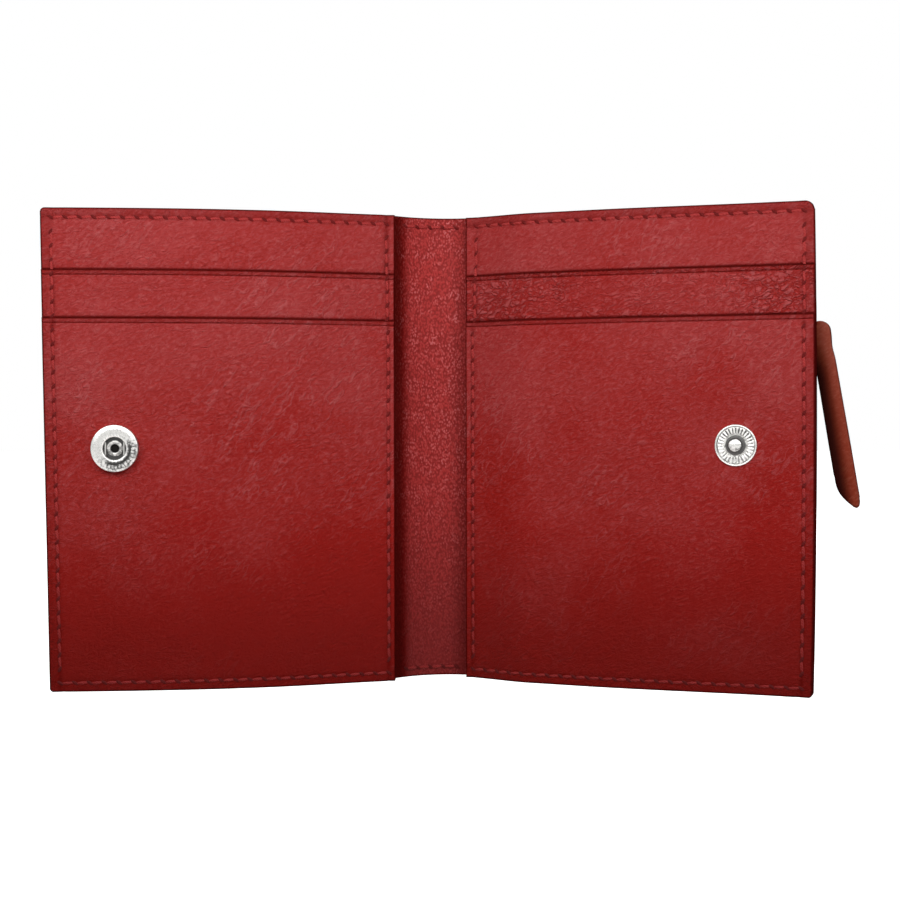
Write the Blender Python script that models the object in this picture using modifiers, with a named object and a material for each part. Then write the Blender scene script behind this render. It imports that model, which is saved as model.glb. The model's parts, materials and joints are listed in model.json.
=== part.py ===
"""Snap wallet: a leather bifold with card pockets, a snap and a zipped coin pocket.

Metres, +Z up. The wallet stands on its bottom edges like an open book, with its inside towards -Y. The
origin is on the bottom edge of the outer leather, at the middle of the spine.

Each half is modelled flat on its own fold axis and turned by its parent empty. A half has three directions:
u runs outwards from the fold axis, n towards the inside face, z up. n is 0 on the linings' front face.
"""

import math

import bmesh
import bpy

MM = 0.001

# Overall sizes
PANEL_HEIGHT = 124 * MM
LEFT_WIDTH = 91.5 * MM  # fold axis to outer edge, at the top
LEFT_TAPER = 1.9 * MM  # the left half is this much narrower at the foot
RIGHT_WIDTH = 92.3 * MM
FOLD_SPAN = 21.3 * MM  # between the two fold axes
SPINE_SAG = 3 * MM  # how far the spine bows back between them
LEFT_FOLD = math.radians(-4)  # from flat towards closed, so minus is past flat
RIGHT_FOLD = math.radians(36)
SPINE_TURN = math.radians(15.1)  # turns the spine so that the inside faces -Y

# Leather and lining thicknesses
COVER_THICKNESS = 1.4 * MM
LINING_THICKNESS = 0.6 * MM
BASE_THICKNESS = 0.9 * MM
UPPER_THICKNESS = 0.9 * MM
FRONT_THICKNESS = 1.2 * MM
COIN_LINING_THICKNESS = 0.4 * MM

# Clearances
SEAT_GAP = 0.3 * MM  # between two layers that lie on each other
FOLD_GAP = 0.3 * MM  # from a fold axis to the leather on each side of it
RUNNING_GAP = 0.15 * MM  # round a pin or a post
OVERRUN = 0.2 * MM  # how far joined shapes reach into each other
MERGE_DISTANCE = 0.003 * MM

# Panel outlines
COVER_INSET = 0.8 * MM  # the cover's outer edge lies this far inside the panel's
LEFT_TOP_RADIUS = 1.2 * MM
RIGHT_TOP_RADIUS = 2.5 * MM
BOTTOM_RADIUS = 1 * MM
CORNER_STEPS = 4

# How the leather of each half arches towards the inside, along u from its fold axis
LEFT_ARCH = 3.4 * MM
LEFT_ARCH_START = -3 * MM
LEFT_ARCH_FULL = 37 * MM
LEFT_SWEEP = 9.5 * MM  # the outer part sweeps back along the first half of a longer S curve
LEFT_SWEEP_START = 42 * MM
LEFT_SWEEP_LENGTH = 100 * MM
RIGHT_ARCH = 2.9 * MM
RIGHT_ARCH_START = 1 * MM
RIGHT_ARCH_FULL = 19 * MM
RIGHT_FALL_START = 34 * MM
RIGHT_LEVEL_EDGE = 4.3 * MM  # level again this far inside the outer edge, where the zip is
COLUMN_WIDTH = 7 * MM
CURVE_COLUMNS = 6  # at least this many along each curve
LEAST_COLUMN = 0.9 * MM
EDGE_COLUMN = 3 * MM

# Card pockets
UPPER_MOUTH_DROP = 15.9 * MM  # from the panel's top edge to the upper pocket's mouth
FRONT_MOUTH_DROP = 12.4 * MM  # from there to the front pocket's mouth
UPPER_FLOOR_RISE = 2.9 * MM  # from the snap's rivet to the upper pocket's leather above it
UPPER_MOUTH = PANEL_HEIGHT - UPPER_MOUTH_DROP
FRONT_MOUTH = UPPER_MOUTH - FRONT_MOUTH_DROP

# Snap
SNAP_REACH = 72.8 * MM  # fold axis to the snap's centre
SOCKET_HEIGHT = 62.3 * MM
STUD_HEIGHT = 62.9 * MM
SOCKET_RADIUS = 6.05 * MM
SOCKET_DEPTH = 2.2 * MM
SOCKET_BORE_RADIUS = 2.85 * MM
SOCKET_CAVITY_RADIUS = 3.9 * MM
SOCKET_FLOOR = 0.45 * MM
SOCKET_LIP = 0.84 * MM
SOCKET_BEVEL = 0.37 * MM
SOCKET_DOME = 1.1 * MM  # width and height of the slope round its face
SPRING_WIRE_RADIUS = 0.25 * MM
SPRING_HALF_SPACING = 2.35 * MM
SPRING_STEPS = 8
STUD_RADIUS = 5.3 * MM
STUD_RIM_HEIGHT = 0.8 * MM
STUD_RIM_WIDTH = 0.55 * MM
STUD_RIM_BEVEL = 0.14 * MM
STUD_PLATE = 0.35 * MM
COLLAR_RADIUS = 2.6 * MM
COLLAR_HEIGHT = 0.7 * MM
BALL_RADIUS = 1.95 * MM
BALL_HEIGHT = 2.8 * MM
BALL_DOME = 0.98 * MM  # from its widest place to its top
BALL_UNDERCUT = 0.58 * MM  # from its widest place down to the neck
BALL_RADIUS_SHARES = (0, 0.3, 0.6, 0.85, 1)
NECK_RADIUS = 1.5 * MM
POST_RADIUS = 1.2 * MM
POST_WALL = 0.4 * MM
POST_FLARE = 0.5 * MM
FLARE_THICKNESS = 0.2 * MM
RIVET_RADIUS = 4.2 * MM
RIVET_THICKNESS = 0.5 * MM
TURN_STEPS = 32

# Coin pocket, which bulges the right cover backwards
COIN_BULGE = 4 * MM
BULGE_START = 5 * MM  # from the fold axis
BULGE_FULL = 66 * MM
BULGE_FOOT = 2 * MM  # heights where the bulge starts and is full
BULGE_FULL_FOOT = 7.5 * MM
BULGE_TOP_DROP = 9 * MM  # from the panel's top edge
FOOT_ROWS = 4
SIDE_ROWS = 3
TOP_ROWS = 6
COIN_LINING_START = 34 * MM
COIN_LINING_FOOT = 9 * MM
COIN_LINING_ROWS = 4

# Zip, set back between the lining and the cover at the right outer edge
ZIP_RECESS = 3.7 * MM
TOOTH_DEPTH = 1.5 * MM
TOOTH_PITCH = 1.9 * MM
TOOTH_WIDTH_SHARE = 0.34
TOOTH_LAP = 0.3 * MM  # how far a tooth passes the middle of the chain
BEAD_WIDTH = 0.8 * MM
TEETH_FOOT = 17 * MM
TEETH_TOP_DROP = 28.3 * MM  # from the panel's top edge
STOP_LENGTH = 1.3 * MM
STOP_RADIUS = 0.32 * MM
TAPE_WIDTH = 9 * MM
TAPE_THICKNESS = 0.4 * MM
TAPE_FOOT = 10 * MM
TAPE_OVERHANG = 1.7 * MM  # past the top stop

# Slider and pull
PULL_OUT = 0.3 * MM  # the pin lies this far outside the panel's edge
PULL_LEAN = math.radians(9.7)
SLIDER_LENGTH = 8.4 * MM
SLIDER_THICKNESS = 0.8 * MM
SLIDER_NOSE_SHARE = 0.55
SLIDER_SHOULDER = 1.4 * MM  # below the pin, where the plate starts to narrow
SLIDER_CORNER_RADIUS = 0.57 * MM
ARM_THICKNESS = 0.6 * MM
ARM_RADIUS = 1.2 * MM
ARM_CORNER_RADIUS = 1.15 * MM
PIN_RADIUS = 0.5 * MM
PIN_STEPS = 16
STRAP_WIDTH = 5.2 * MM
STRAP_LENGTH = 45.2 * MM  # pin to tip
STRAP_SLANT = 6 * MM  # the inner side of the tip is cut this much shorter
STRAP_LEAF = 0.6 * MM
STRAP_TIP_SET = 1.04 * MM  # from the strap's middle to the lowest point
STRAP_TIP_RISE = 0.52 * MM  # from there up to the outer corner
STRAP_TIP_RADIUS = 1.9 * MM
STRAP_CORNER_RADIUS = 0.95 * MM
STRAP_HEAD_STEPS = 12
STRAP_PIT_SHARE = 0.7  # how deep the pin sits in each leaf

# Heights of the layers above the fold axis, towards the inside face
COVER_FRONT = -LINING_THICKNESS - SEAT_GAP
COVER_BACK = COVER_FRONT - COVER_THICKNESS
BASE_BACK = SEAT_GAP
BASE_FRONT = BASE_BACK + BASE_THICKNESS
UPPER_BACK = BASE_FRONT + SEAT_GAP
UPPER_FRONT = UPPER_BACK + UPPER_THICKNESS
FRONT_BACK = UPPER_FRONT + SEAT_GAP
FRONT_FRONT = FRONT_BACK + FRONT_THICKNESS
LINING_BACK = -LINING_THICKNESS

# Space for the zip between the lining and the bulged cover
ZIP_FRONT = LINING_BACK - SEAT_GAP
ZIP_BACK = COVER_FRONT - COIN_BULGE + SEAT_GAP
ZIP_MIDDLE = (ZIP_FRONT + ZIP_BACK) / 2
TEETH_OUTSIDE = RIGHT_WIDTH - ZIP_RECESS
TEETH_INSIDE = TEETH_OUTSIDE - TOOTH_DEPTH
TEETH_TOP = PANEL_HEIGHT - TEETH_TOP_DROP
TAPE_TOP = TEETH_TOP + SEAT_GAP + STOP_LENGTH + TAPE_OVERHANG
SLIDER_INSIDE = TEETH_OUTSIDE + SEAT_GAP
SLIDER_OUTSIDE = SLIDER_INSIDE + SLIDER_THICKNESS
PULL_REACH = RIGHT_WIDTH + PULL_OUT
PULL_HEIGHT = TEETH_TOP - SLIDER_LENGTH / 2  # of the pull's pin, with the slider up at the top stop
COIN_LINING_TOP = TEETH_TOP + SEAT_GAP
BULGE_FULL_TOP = TEETH_TOP + SEAT_GAP + STOP_LENGTH
BULGE_TOP = PANEL_HEIGHT - BULGE_TOP_DROP

# Spine bow, an arc through both fold axes
SPINE_RADIUS = (FOLD_SPAN**2 / 4 + SPINE_SAG**2) / (2 * SPINE_SAG)
FOLD_SET = SPINE_SAG + LINING_THICKNESS + SEAT_GAP + COVER_THICKNESS / 2
SPINE_STEPS = 12

LEFT = -1
RIGHT = 1

# S curves of each half: start, end and rise
BOWS = {
    LEFT: (
        (LEFT_ARCH_START, LEFT_ARCH_FULL, LEFT_ARCH),
        (LEFT_SWEEP_START, LEFT_SWEEP_START + LEFT_SWEEP_LENGTH, -LEFT_SWEEP),
    ),
    RIGHT: (
        (RIGHT_ARCH_START, RIGHT_ARCH_FULL, RIGHT_ARCH),
        (RIGHT_FALL_START, RIGHT_WIDTH - RIGHT_LEVEL_EDGE, -RIGHT_ARCH),
    ),
}
BULGE_CURVE = (BULGE_START, BULGE_FULL, -COIN_BULGE)


def clear_scene():
    for obj in list(bpy.data.objects):
        bpy.data.objects.remove(obj, do_unlink=True)


def new_collection(name, hidden=False):
    collection = bpy.data.collections.new(name)
    collection.hide_render = hidden
    bpy.context.scene.collection.children.link(collection)
    return collection


def material(name, color, roughness, metallic=0.0):
    """A Principled material, its colour in linear values."""
    made = bpy.data.materials.new(name)
    made.use_nodes = True
    shader = made.node_tree.nodes["Principled BSDF"]
    shader.inputs["Base Color"].default_value = (*color, 1)
    shader.inputs["Roughness"].default_value = roughness
    shader.inputs["Metallic"].default_value = metallic
    return made


def place(obj, parent, location=(0, 0, 0), rotation=(0, 0, 0)):
    obj.location = location
    obj.rotation_euler = rotation
    obj.parent = parent


def new_empty(name, parent, location, rotation=(0, 0, 0)):
    empty = bpy.data.objects.new(name, None)
    PARTS.objects.link(empty)
    place(empty, parent, location, rotation)
    return empty


def rounded_outline(corners, radii, steps=CORNER_STEPS):
    """The closed polygon through the corners, each replaced by an arc of its radius."""
    outline = []
    for index, (x, y) in enumerate(corners):
        radius = radii[index]
        if not radius:
            outline.append((x, y))
            continue
        before = corners[index - 1]
        after = corners[(index + 1) % len(corners)]
        towards = math.atan2(before[1] - y, before[0] - x)
        opening = (math.atan2(after[1] - y, after[0] - x) - towards + math.pi) % (2 * math.pi) - math.pi
        middle = towards + opening / 2
        reach = radius / math.sin(abs(opening) / 2)
        centre = (x + reach * math.cos(middle), y + reach * math.sin(middle))
        sweep = (math.pi - abs(opening)) * math.copysign(1, opening)
        start = middle + math.pi + sweep / 2
        for step in range(steps + 1):
            angle = start - sweep * step / steps
            outline.append((centre[0] + radius * math.cos(angle), centre[1] + radius * math.sin(angle)))
    return outline


def circle(x, y, radius, steps=TURN_STEPS):
    turns = [2 * math.pi * step / steps for step in range(steps)]
    return [(x + radius * math.cos(turn), y + radius * math.sin(turn)) for turn in turns]


def flat_curve(name, outlines, thickness):
    """A filled 2D curve, thick along its own Z and centred on it. Inner outlines are holes."""
    curve = bpy.data.curves.new(name, "CURVE")
    curve.dimensions = "2D"
    curve.fill_mode = "BOTH"
    curve.extrude = thickness / 2
    for outline in outlines:
        spline = curve.splines.new("POLY")
        spline.points.add(len(outline) - 1)
        for point, (x, y) in zip(spline.points, outline):
            point.co = (x, y, 0, 1)
        spline.use_cyclic_u = True
    obj = bpy.data.objects.new(name, curve)
    PARTS.objects.link(obj)
    return obj


def finish(obj, finish_material):
    obj.data.materials.append(finish_material)
    return obj


def as_mesh(obj):
    """The curve object remade as a welded mesh object of the same name and place."""
    bpy.context.view_layer.update()
    graph = bpy.context.evaluated_depsgraph_get()
    mesh = bpy.data.meshes.new_from_object(obj.evaluated_get(graph))
    work = bmesh.new()
    work.from_mesh(mesh)
    bmesh.ops.remove_doubles(work, verts=work.verts, dist=MERGE_DISTANCE)
    bmesh.ops.recalc_face_normals(work, faces=work.faces)
    work.to_mesh(mesh)
    work.free()
    name = obj.name
    curve = obj.data
    made = bpy.data.objects.new(name, mesh)
    place(made, obj.parent, obj.location, obj.rotation_euler)
    bpy.data.objects.remove(obj, do_unlink=True)
    bpy.data.curves.remove(curve)
    made.name = name
    PARTS.objects.link(made)
    return made


def helper(obj):
    """Moves an object that only shapes others into the cutters' collection."""
    PARTS.objects.unlink(obj)
    CUTTERS.objects.link(obj)
    obj.hide_render = True
    obj.display_type = "WIRE"
    return obj


def combine(obj, other, operation):
    boolean = obj.modifiers.new(operation.title(), "BOOLEAN")
    boolean.operation = operation
    boolean.object = helper(other)


def sheet(name, fold, outlines, back, front, leather):
    """A flat piece of a half: outlines in u and z, between two heights above the fold axis."""
    obj = flat_curve(name, outlines, front - back)
    place(obj, fold, (0, -(back + front) / 2, 0), (math.pi / 2, 0, 0))
    return finish(obj, leather)


def turned(name, profile, axis, level, metal, closed):
    """A profile of (radius, height) turned about a snap's axis, its height 0 at a level on it.

    An open profile starts and ends on the axis.
    """
    mesh = bpy.data.meshes.new(name)
    work = bmesh.new()
    points = [work.verts.new((radius, 0, height)) for radius, height in profile]
    for first, second in zip(points, points[1:]):
        work.edges.new((first, second))
    if closed:
        work.edges.new((points[-1], points[0]))
    work.to_mesh(mesh)
    work.free()
    obj = bpy.data.objects.new(name, mesh)
    PARTS.objects.link(obj)
    screw = obj.modifiers.new("Turn", "SCREW")
    screw.steps = TURN_STEPS
    screw.render_steps = TURN_STEPS
    screw.use_merge_vertices = True
    screw.merge_threshold = MERGE_DISTANCE
    screw.use_smooth_shade = True
    place(obj, axis, (0, -level, 0), (math.pi / 2, 0, 0))
    return finish(obj, metal)


def spine_band(name, front, thickness, leather):
    """The strip between the fold axes: a slice of a ring, cut square at both ends and standing upright."""
    centre = SPINE_SAG - SPINE_RADIUS - FOLD_SET
    half_width = FOLD_SPAN / 2 - FOLD_GAP
    outline = []
    for radius, direction in ((SPINE_RADIUS + front, 1), (SPINE_RADIUS + front + thickness, -1)):
        half_angle = math.asin(half_width / radius)
        for step in range(SPINE_STEPS + 1):
            angle = direction * half_angle * (2 * step / SPINE_STEPS - 1)
            outline.append((radius * math.sin(angle), centre + radius * math.cos(angle)))
    obj = flat_curve(name, [outline], PANEL_HEIGHT)
    place(obj, SPINE, (0, 0, PANEL_HEIGHT / 2))
    return finish(obj, leather)


def build_spine():
    spine_band("lining_spine", 0, LINING_THICKNESS, PEBBLED)
    spine_band("cover_spine", LINING_THICKNESS + SEAT_GAP, COVER_THICKNESS, LEATHER)


def ramp(value, start, end):
    """0 before start, 1 after end, and an S curve between."""
    share = min(max((value - start) / (end - start), 0), 1)
    return share * share * (3 - 2 * share)


def bulge(u, z):
    """How far the coin pocket pushes the right cover back at a place on it."""
    across = ramp(u, BULGE_START, BULGE_FULL)
    up = ramp(z, BULGE_FOOT, BULGE_FULL_FOOT) * (1 - ramp(z, BULGE_FULL_TOP, BULGE_TOP))
    return COIN_BULGE * across * up


def spread(start, end, count):
    return [start + (end - start) * step / count for step in range(count + 1)]


def bow(side, u):
    """How far the leather of a half arches towards the inside at a distance from its fold axis."""
    return sum(rise * ramp(u, start, end) for start, end, rise in BOWS[side])


def columns(side, start, end):
    """Places along u where the grids of a half have edges, the same ones for all of its layers."""
    places = []
    for first, last, _ in BOWS[side] + (BULGE_CURVE,) * (side == RIGHT):
        count = max(math.ceil((last - first) / COLUMN_WIDTH), CURVE_COLUMNS)
        places += [place for place in spread(first, last, count) if start < place < end - EDGE_COLUMN]
    kept = [start]
    for place in sorted(places):
        if place > kept[-1] + LEAST_COLUMN:
            kept.append(place)
    return kept + [end]


def corner_rows(radius):
    """Distances from a sheet's end where its grid has rows for a rounded corner."""
    if not radius:
        return [0]
    angles = spread(0, math.pi / 2, CORNER_STEPS)
    return [radius * (1 - math.cos(angle)) for angle in angles]


def corner_cut(distance, radius):
    """How far the outer edge is set in at a distance from a rounded end."""
    if distance >= radius:
        return 0
    return radius - math.sqrt(radius**2 - (radius - distance) ** 2)


def shell(name, side, start, end, heights, radii, front, thickness, leather):
    """A sheet of a half that follows its bow: a grid for the front face, thickened backwards.

    heights holds its foot, any rows between, and its top, and radii those of its two outer corners. With
    more than two heights it lies on the coin pocket's bulge as well.
    """
    foot, *between, top = heights
    foot_radius, top_radius = radii
    rows = [foot + distance for distance in corner_rows(foot_radius)] + between
    rows += [top - distance for distance in reversed(corner_rows(top_radius))]
    *places, inner, _ = columns(side, start, end)
    slope = (bow(side, end) - bow(side, inner)) / (end - inner)
    mesh = bpy.data.meshes.new(name)
    work = bmesh.new()
    grid = []
    for z in rows:
        edge = end - corner_cut(z - foot, foot_radius) - corner_cut(top - z, top_radius)
        if side == LEFT:
            edge -= LEFT_TAPER * (1 - z / PANEL_HEIGHT)
        rises = [(u, bow(side, u)) for u in [*places, inner]]
        rises.append((edge, bow(side, inner) + slope * (edge - inner)))
        line = []
        for u, rise in rises:
            pushed = bulge(u, z) if between else 0
            line.append(work.verts.new((side * u, pushed - front - rise, z)))
        grid.append(line)
    for low, high in zip(grid, grid[1:]):
        for column in range(len(low) - 1):
            corners = (low[column], low[column + 1], high[column + 1], high[column])
            work.faces.new(corners[::side])
    work.to_mesh(mesh)
    work.free()
    obj = bpy.data.objects.new(name, mesh)
    PARTS.objects.link(obj)
    wall = obj.modifiers.new("Thickness", "SOLIDIFY")
    wall.thickness = thickness
    wall.offset = -1
    place(obj, LEFT_HALF if side == LEFT else RIGHT_HALF)
    return finish(obj, leather)


def build_pockets(side, word, width, snap_axis, snap_height, top_radius):
    """Base panel, upper pocket and front pocket of a half, the last with the hole for its snap."""
    upper_floor = snap_height + RIVET_RADIUS + UPPER_FLOOR_RISE
    for name, heights, radii, front, thickness in (
        ("card_base_", (0, PANEL_HEIGHT), (BOTTOM_RADIUS, top_radius), BASE_FRONT, BASE_THICKNESS),
        ("card_pocket_upper_", (upper_floor, UPPER_MOUTH), (0, 0), UPPER_FRONT, UPPER_THICKNESS),
        ("card_pocket_front_", (0, FRONT_MOUTH), (BOTTOM_RADIUS, 0), FRONT_FRONT, FRONT_THICKNESS),
    ):
        panel = shell(name + word, side, FOLD_GAP, width, heights, radii, front, thickness, LEATHER)
    hole = flat_curve("snap_hole_" + word, [circle(0, 0, POST_RADIUS + SEAT_GAP)], 2 * FRONT_THICKNESS)
    place(hole, snap_axis, (0, FRONT_THICKNESS / 2, 0), (math.pi / 2, 0, 0))
    combine(panel, as_mesh(hole), "DIFFERENCE")


def build_left_shell():
    heights = (0, PANEL_HEIGHT)
    radii = (BOTTOM_RADIUS, LEFT_TOP_RADIUS)
    shell("lining_left", LEFT, FOLD_GAP, LEFT_WIDTH, heights, radii, 0, LINING_THICKNESS, LINING)
    edge = LEFT_WIDTH - COVER_INSET
    shell("cover_left", LEFT, FOLD_GAP, edge, heights, radii, COVER_FRONT, COVER_THICKNESS, LEATHER)


def build_right_shell():
    radii = (BOTTOM_RADIUS, RIGHT_TOP_RADIUS)
    heights = (0, PANEL_HEIGHT)
    shell("lining_right", RIGHT, FOLD_GAP, RIGHT_WIDTH, heights, radii, 0, LINING_THICKNESS, LINING)
    heights = [0, *spread(BULGE_FOOT, BULGE_FULL_FOOT, FOOT_ROWS)]
    heights += spread(BULGE_FULL_FOOT, BULGE_FULL_TOP, SIDE_ROWS)[1:]
    heights += spread(BULGE_FULL_TOP, BULGE_TOP, TOP_ROWS)[1:]
    heights.append(PANEL_HEIGHT)
    edge = RIGHT_WIDTH - COVER_INSET
    shell("cover_right", RIGHT, FOLD_GAP, edge, heights, radii, COVER_FRONT, COVER_THICKNESS, LEATHER)


def build_coin_lining():
    """Two sheets inside the coin pocket, ending where the zip tapes start."""
    start = COIN_LINING_START
    end = TEETH_INSIDE - SEAT_GAP - TAPE_WIDTH - SEAT_GAP
    thickness = COIN_LINING_THICKNESS
    heights = (COIN_LINING_FOOT, COIN_LINING_TOP)
    shell("coin_lining_front", RIGHT, start, end, heights, (0, 0), ZIP_FRONT, thickness, LINING)
    face = COVER_FRONT + SEAT_GAP + thickness
    heights = spread(COIN_LINING_FOOT, COIN_LINING_TOP, COIN_LINING_ROWS)
    shell("coin_lining_back", RIGHT, start, end, heights, (0, 0), face, thickness, LINING)


def snap_frame(name, side, fold, height):
    """Frame of a snap's axis, on the front pocket's leather and square to it."""
    slope = (bow(side, SNAP_REACH + OVERRUN) - bow(side, SNAP_REACH - OVERRUN)) / (2 * OVERRUN)
    level = FRONT_FRONT + bow(side, SNAP_REACH)
    return new_empty(name, fold, (side * SNAP_REACH, -level, height), (0, 0, -side * math.atan(slope)))


def build_socket():
    """Socket shell with an undercut cavity for its spring, and the rivet whose post flares inside it."""
    lip_back = SOCKET_DEPTH - SOCKET_LIP
    case = [
        (SOCKET_RADIUS, 0),
        (POST_RADIUS + SEAT_GAP, 0),
        (POST_RADIUS + SEAT_GAP, SOCKET_FLOOR),
        (SOCKET_CAVITY_RADIUS, SOCKET_FLOOR),
        (SOCKET_CAVITY_RADIUS, lip_back),
        (SOCKET_BORE_RADIUS, lip_back),
        (SOCKET_BORE_RADIUS, SOCKET_DEPTH - SOCKET_BEVEL),
        (SOCKET_BORE_RADIUS + SOCKET_BEVEL, SOCKET_DEPTH),
        (SOCKET_RADIUS - SOCKET_DOME, SOCKET_DEPTH),
        (SOCKET_RADIUS - SOCKET_BEVEL, SOCKET_DEPTH - SOCKET_BEVEL),
        (SOCKET_RADIUS, SOCKET_DEPTH - SOCKET_DOME),
    ]
    turned("snap_socket", case, SOCKET_AXIS, SEAT_GAP, NICKEL, True)
    build_spring()
    inside = POST_RADIUS - POST_WALL
    flare_back = SEAT_GAP + SOCKET_FLOOR + SEAT_GAP / 2
    flare_front = flare_back + FLARE_THICKNESS
    leather_back = -FRONT_THICKNESS - SEAT_GAP
    rivet = [
        (inside, flare_front),
        (POST_RADIUS + POST_FLARE, flare_front),
        (POST_RADIUS + POST_FLARE, flare_back),
        (POST_RADIUS, flare_back),
        (POST_RADIUS, leather_back),
        (RIVET_RADIUS, leather_back),
        (RIVET_RADIUS, leather_back - RIVET_THICKNESS),
        (inside, leather_back - RIVET_THICKNESS),
    ]
    turned("snap_socket_rivet", rivet, SOCKET_AXIS, 0, STEEL, True)


def build_spring():
    """Hairpin wire in the socket's cavity: two bars beside the bore, joined by an arc along the wall."""
    level = SEAT_GAP + SOCKET_FLOOR + SEAT_GAP + SPRING_WIRE_RADIUS
    arc_radius = SOCKET_CAVITY_RADIUS - RUNNING_GAP - SPRING_WIRE_RADIUS
    half_length = math.sqrt(arc_radius**2 - SPRING_HALF_SPACING**2)
    side_angle = math.acos(SPRING_HALF_SPACING / arc_radius)
    points = [(-SPRING_HALF_SPACING, -half_length), (-SPRING_HALF_SPACING, 0)]
    for angle in spread(math.pi - side_angle, side_angle, SPRING_STEPS):
        points.append((arc_radius * math.cos(angle), arc_radius * math.sin(angle)))
    points += [(SPRING_HALF_SPACING, 0), (SPRING_HALF_SPACING, -half_length)]
    curve = bpy.data.curves.new("snap_spring", "CURVE")
    curve.dimensions = "3D"
    curve.bevel_depth = SPRING_WIRE_RADIUS
    curve.bevel_resolution = 1
    curve.use_fill_caps = True
    spline = curve.splines.new("POLY")
    spline.points.add(len(points) - 1)
    for point, (x, y) in zip(spline.points, points):
        point.co = (x, y, 0, 1)
    obj = bpy.data.objects.new("snap_spring", curve)
    PARTS.objects.link(obj)
    place(obj, SOCKET_AXIS, (0, -level, 0), (math.pi / 2, 0, 0))
    finish(obj, STEEL)


def build_stud():
    """Stud: a rimmed plate with a neck and a ball, and the rivet that holds it from behind the leather."""
    ball = []
    equator = BALL_HEIGHT - BALL_DOME
    for share in BALL_RADIUS_SHARES:
        lift = BALL_DOME * math.sqrt(1 - share**2)
        ball.append((BALL_RADIUS * share, equator + lift))
    rim_inside = STUD_RADIUS - STUD_RIM_WIDTH
    profile = [
        *ball,
        (NECK_RADIUS, equator - BALL_UNDERCUT),
        (NECK_RADIUS, COLLAR_HEIGHT),
        (COLLAR_RADIUS, COLLAR_HEIGHT),
        (COLLAR_RADIUS, STUD_PLATE),
        (rim_inside, STUD_PLATE),
        (rim_inside, STUD_RIM_HEIGHT),
        (STUD_RADIUS - STUD_RIM_BEVEL, STUD_RIM_HEIGHT),
        (STUD_RADIUS, STUD_RIM_HEIGHT - STUD_RIM_BEVEL),
        (STUD_RADIUS, 0),
        (0, 0),
    ]
    turned("snap_stud", profile, STUD_AXIS, SEAT_GAP, NICKEL, False)
    leather_back = -FRONT_THICKNESS - SEAT_GAP
    rivet = [
        (0, 0),
        (POST_RADIUS, 0),
        (POST_RADIUS, leather_back),
        (RIVET_RADIUS, leather_back),
        (RIVET_RADIUS, leather_back - RIVET_THICKNESS),
        (0, leather_back - RIVET_THICKNESS),
    ]
    turned("snap_stud_rivet", rivet, STUD_AXIS, 0, STEEL, False)


def across_edge(name, outline, inside, outside, finish_material):
    """A piece at the right edge whose outline is in n and z, thick along u."""
    obj = flat_curve(name, [outline], outside - inside)
    place(obj, RIGHT_HALF, ((inside + outside) / 2, 0, 0), (math.pi / 2, 0, -math.pi / 2))
    return finish(obj, finish_material)


def comb(name, bead_edge, direction, first):
    """One row of teeth: a bead along z with teeth that pass the chain's middle."""
    bead_side = bead_edge + direction * BEAD_WIDTH
    tip = ZIP_MIDDLE + direction * TOOTH_LAP
    half_tooth = TOOTH_PITCH * TOOTH_WIDTH_SHARE / 2
    count = int((TEETH_TOP - TEETH_FOOT - first - half_tooth) / TOOTH_PITCH)
    levels = [TEETH_FOOT]
    for index in range(count):
        middle = TEETH_FOOT + first + index * TOOTH_PITCH
        levels += [middle - half_tooth, middle + half_tooth]
    levels.append(TEETH_TOP)
    mesh = bpy.data.meshes.new(name)
    work = bmesh.new()
    bead = [[work.verts.new((n, z, 0)) for n in (bead_edge, bead_side)] for z in levels]
    for low, high in zip(bead, bead[1:]):
        work.faces.new((low[0], low[1], high[1], high[0]))
    for index in range(1, len(levels) - 1, 2):
        tips = [work.verts.new((tip, levels[index + step], 0)) for step in (0, 1)]
        work.faces.new((bead[index][1], tips[0], tips[1], bead[index + 1][1]))
    bmesh.ops.recalc_face_normals(work, faces=work.faces)
    work.to_mesh(mesh)
    work.free()
    obj = bpy.data.objects.new(name, mesh)
    PARTS.objects.link(obj)
    shell = obj.modifiers.new("Thickness", "SOLIDIFY")
    shell.thickness = TOOTH_DEPTH
    shell.offset = 0
    place(obj, RIGHT_HALF, ((TEETH_INSIDE + TEETH_OUTSIDE) / 2, 0, 0), (math.pi / 2, 0, -math.pi / 2))
    finish(obj, NICKEL)


def build_zip():
    comb("zip_teeth_front", ZIP_FRONT, -1, TOOTH_PITCH / 2)
    comb("zip_teeth_back", ZIP_BACK, 1, TOOTH_PITCH)
    for name, foot in (
        ("zip_bottom_stop", TEETH_FOOT - SEAT_GAP - STOP_LENGTH),
        ("zip_top_stop", TEETH_TOP + SEAT_GAP),
    ):
        corners = [(ZIP_FRONT, foot), (ZIP_BACK, foot), (ZIP_BACK, foot + STOP_LENGTH)]
        corners.append((ZIP_FRONT, foot + STOP_LENGTH))
        outline = rounded_outline(corners, [STOP_RADIUS] * len(corners))
        across_edge(name, outline, TEETH_INSIDE, TEETH_OUTSIDE + SEAT_GAP, NICKEL)
    end = TEETH_INSIDE - SEAT_GAP
    start = end - TAPE_WIDTH
    heights = (TAPE_FOOT, TAPE_TOP)
    shell("zip_tape_front", RIGHT, start, end, heights, (0, 0), ZIP_FRONT, TAPE_THICKNESS, TAPE)
    face = COVER_FRONT + SEAT_GAP + TAPE_THICKNESS
    heights = (TAPE_FOOT, BULGE_FULL_TOP, TAPE_TOP)
    shell("zip_tape_back", RIGHT, start, end, heights, (0, 0), face, TAPE_THICKNESS, TAPE)


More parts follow.
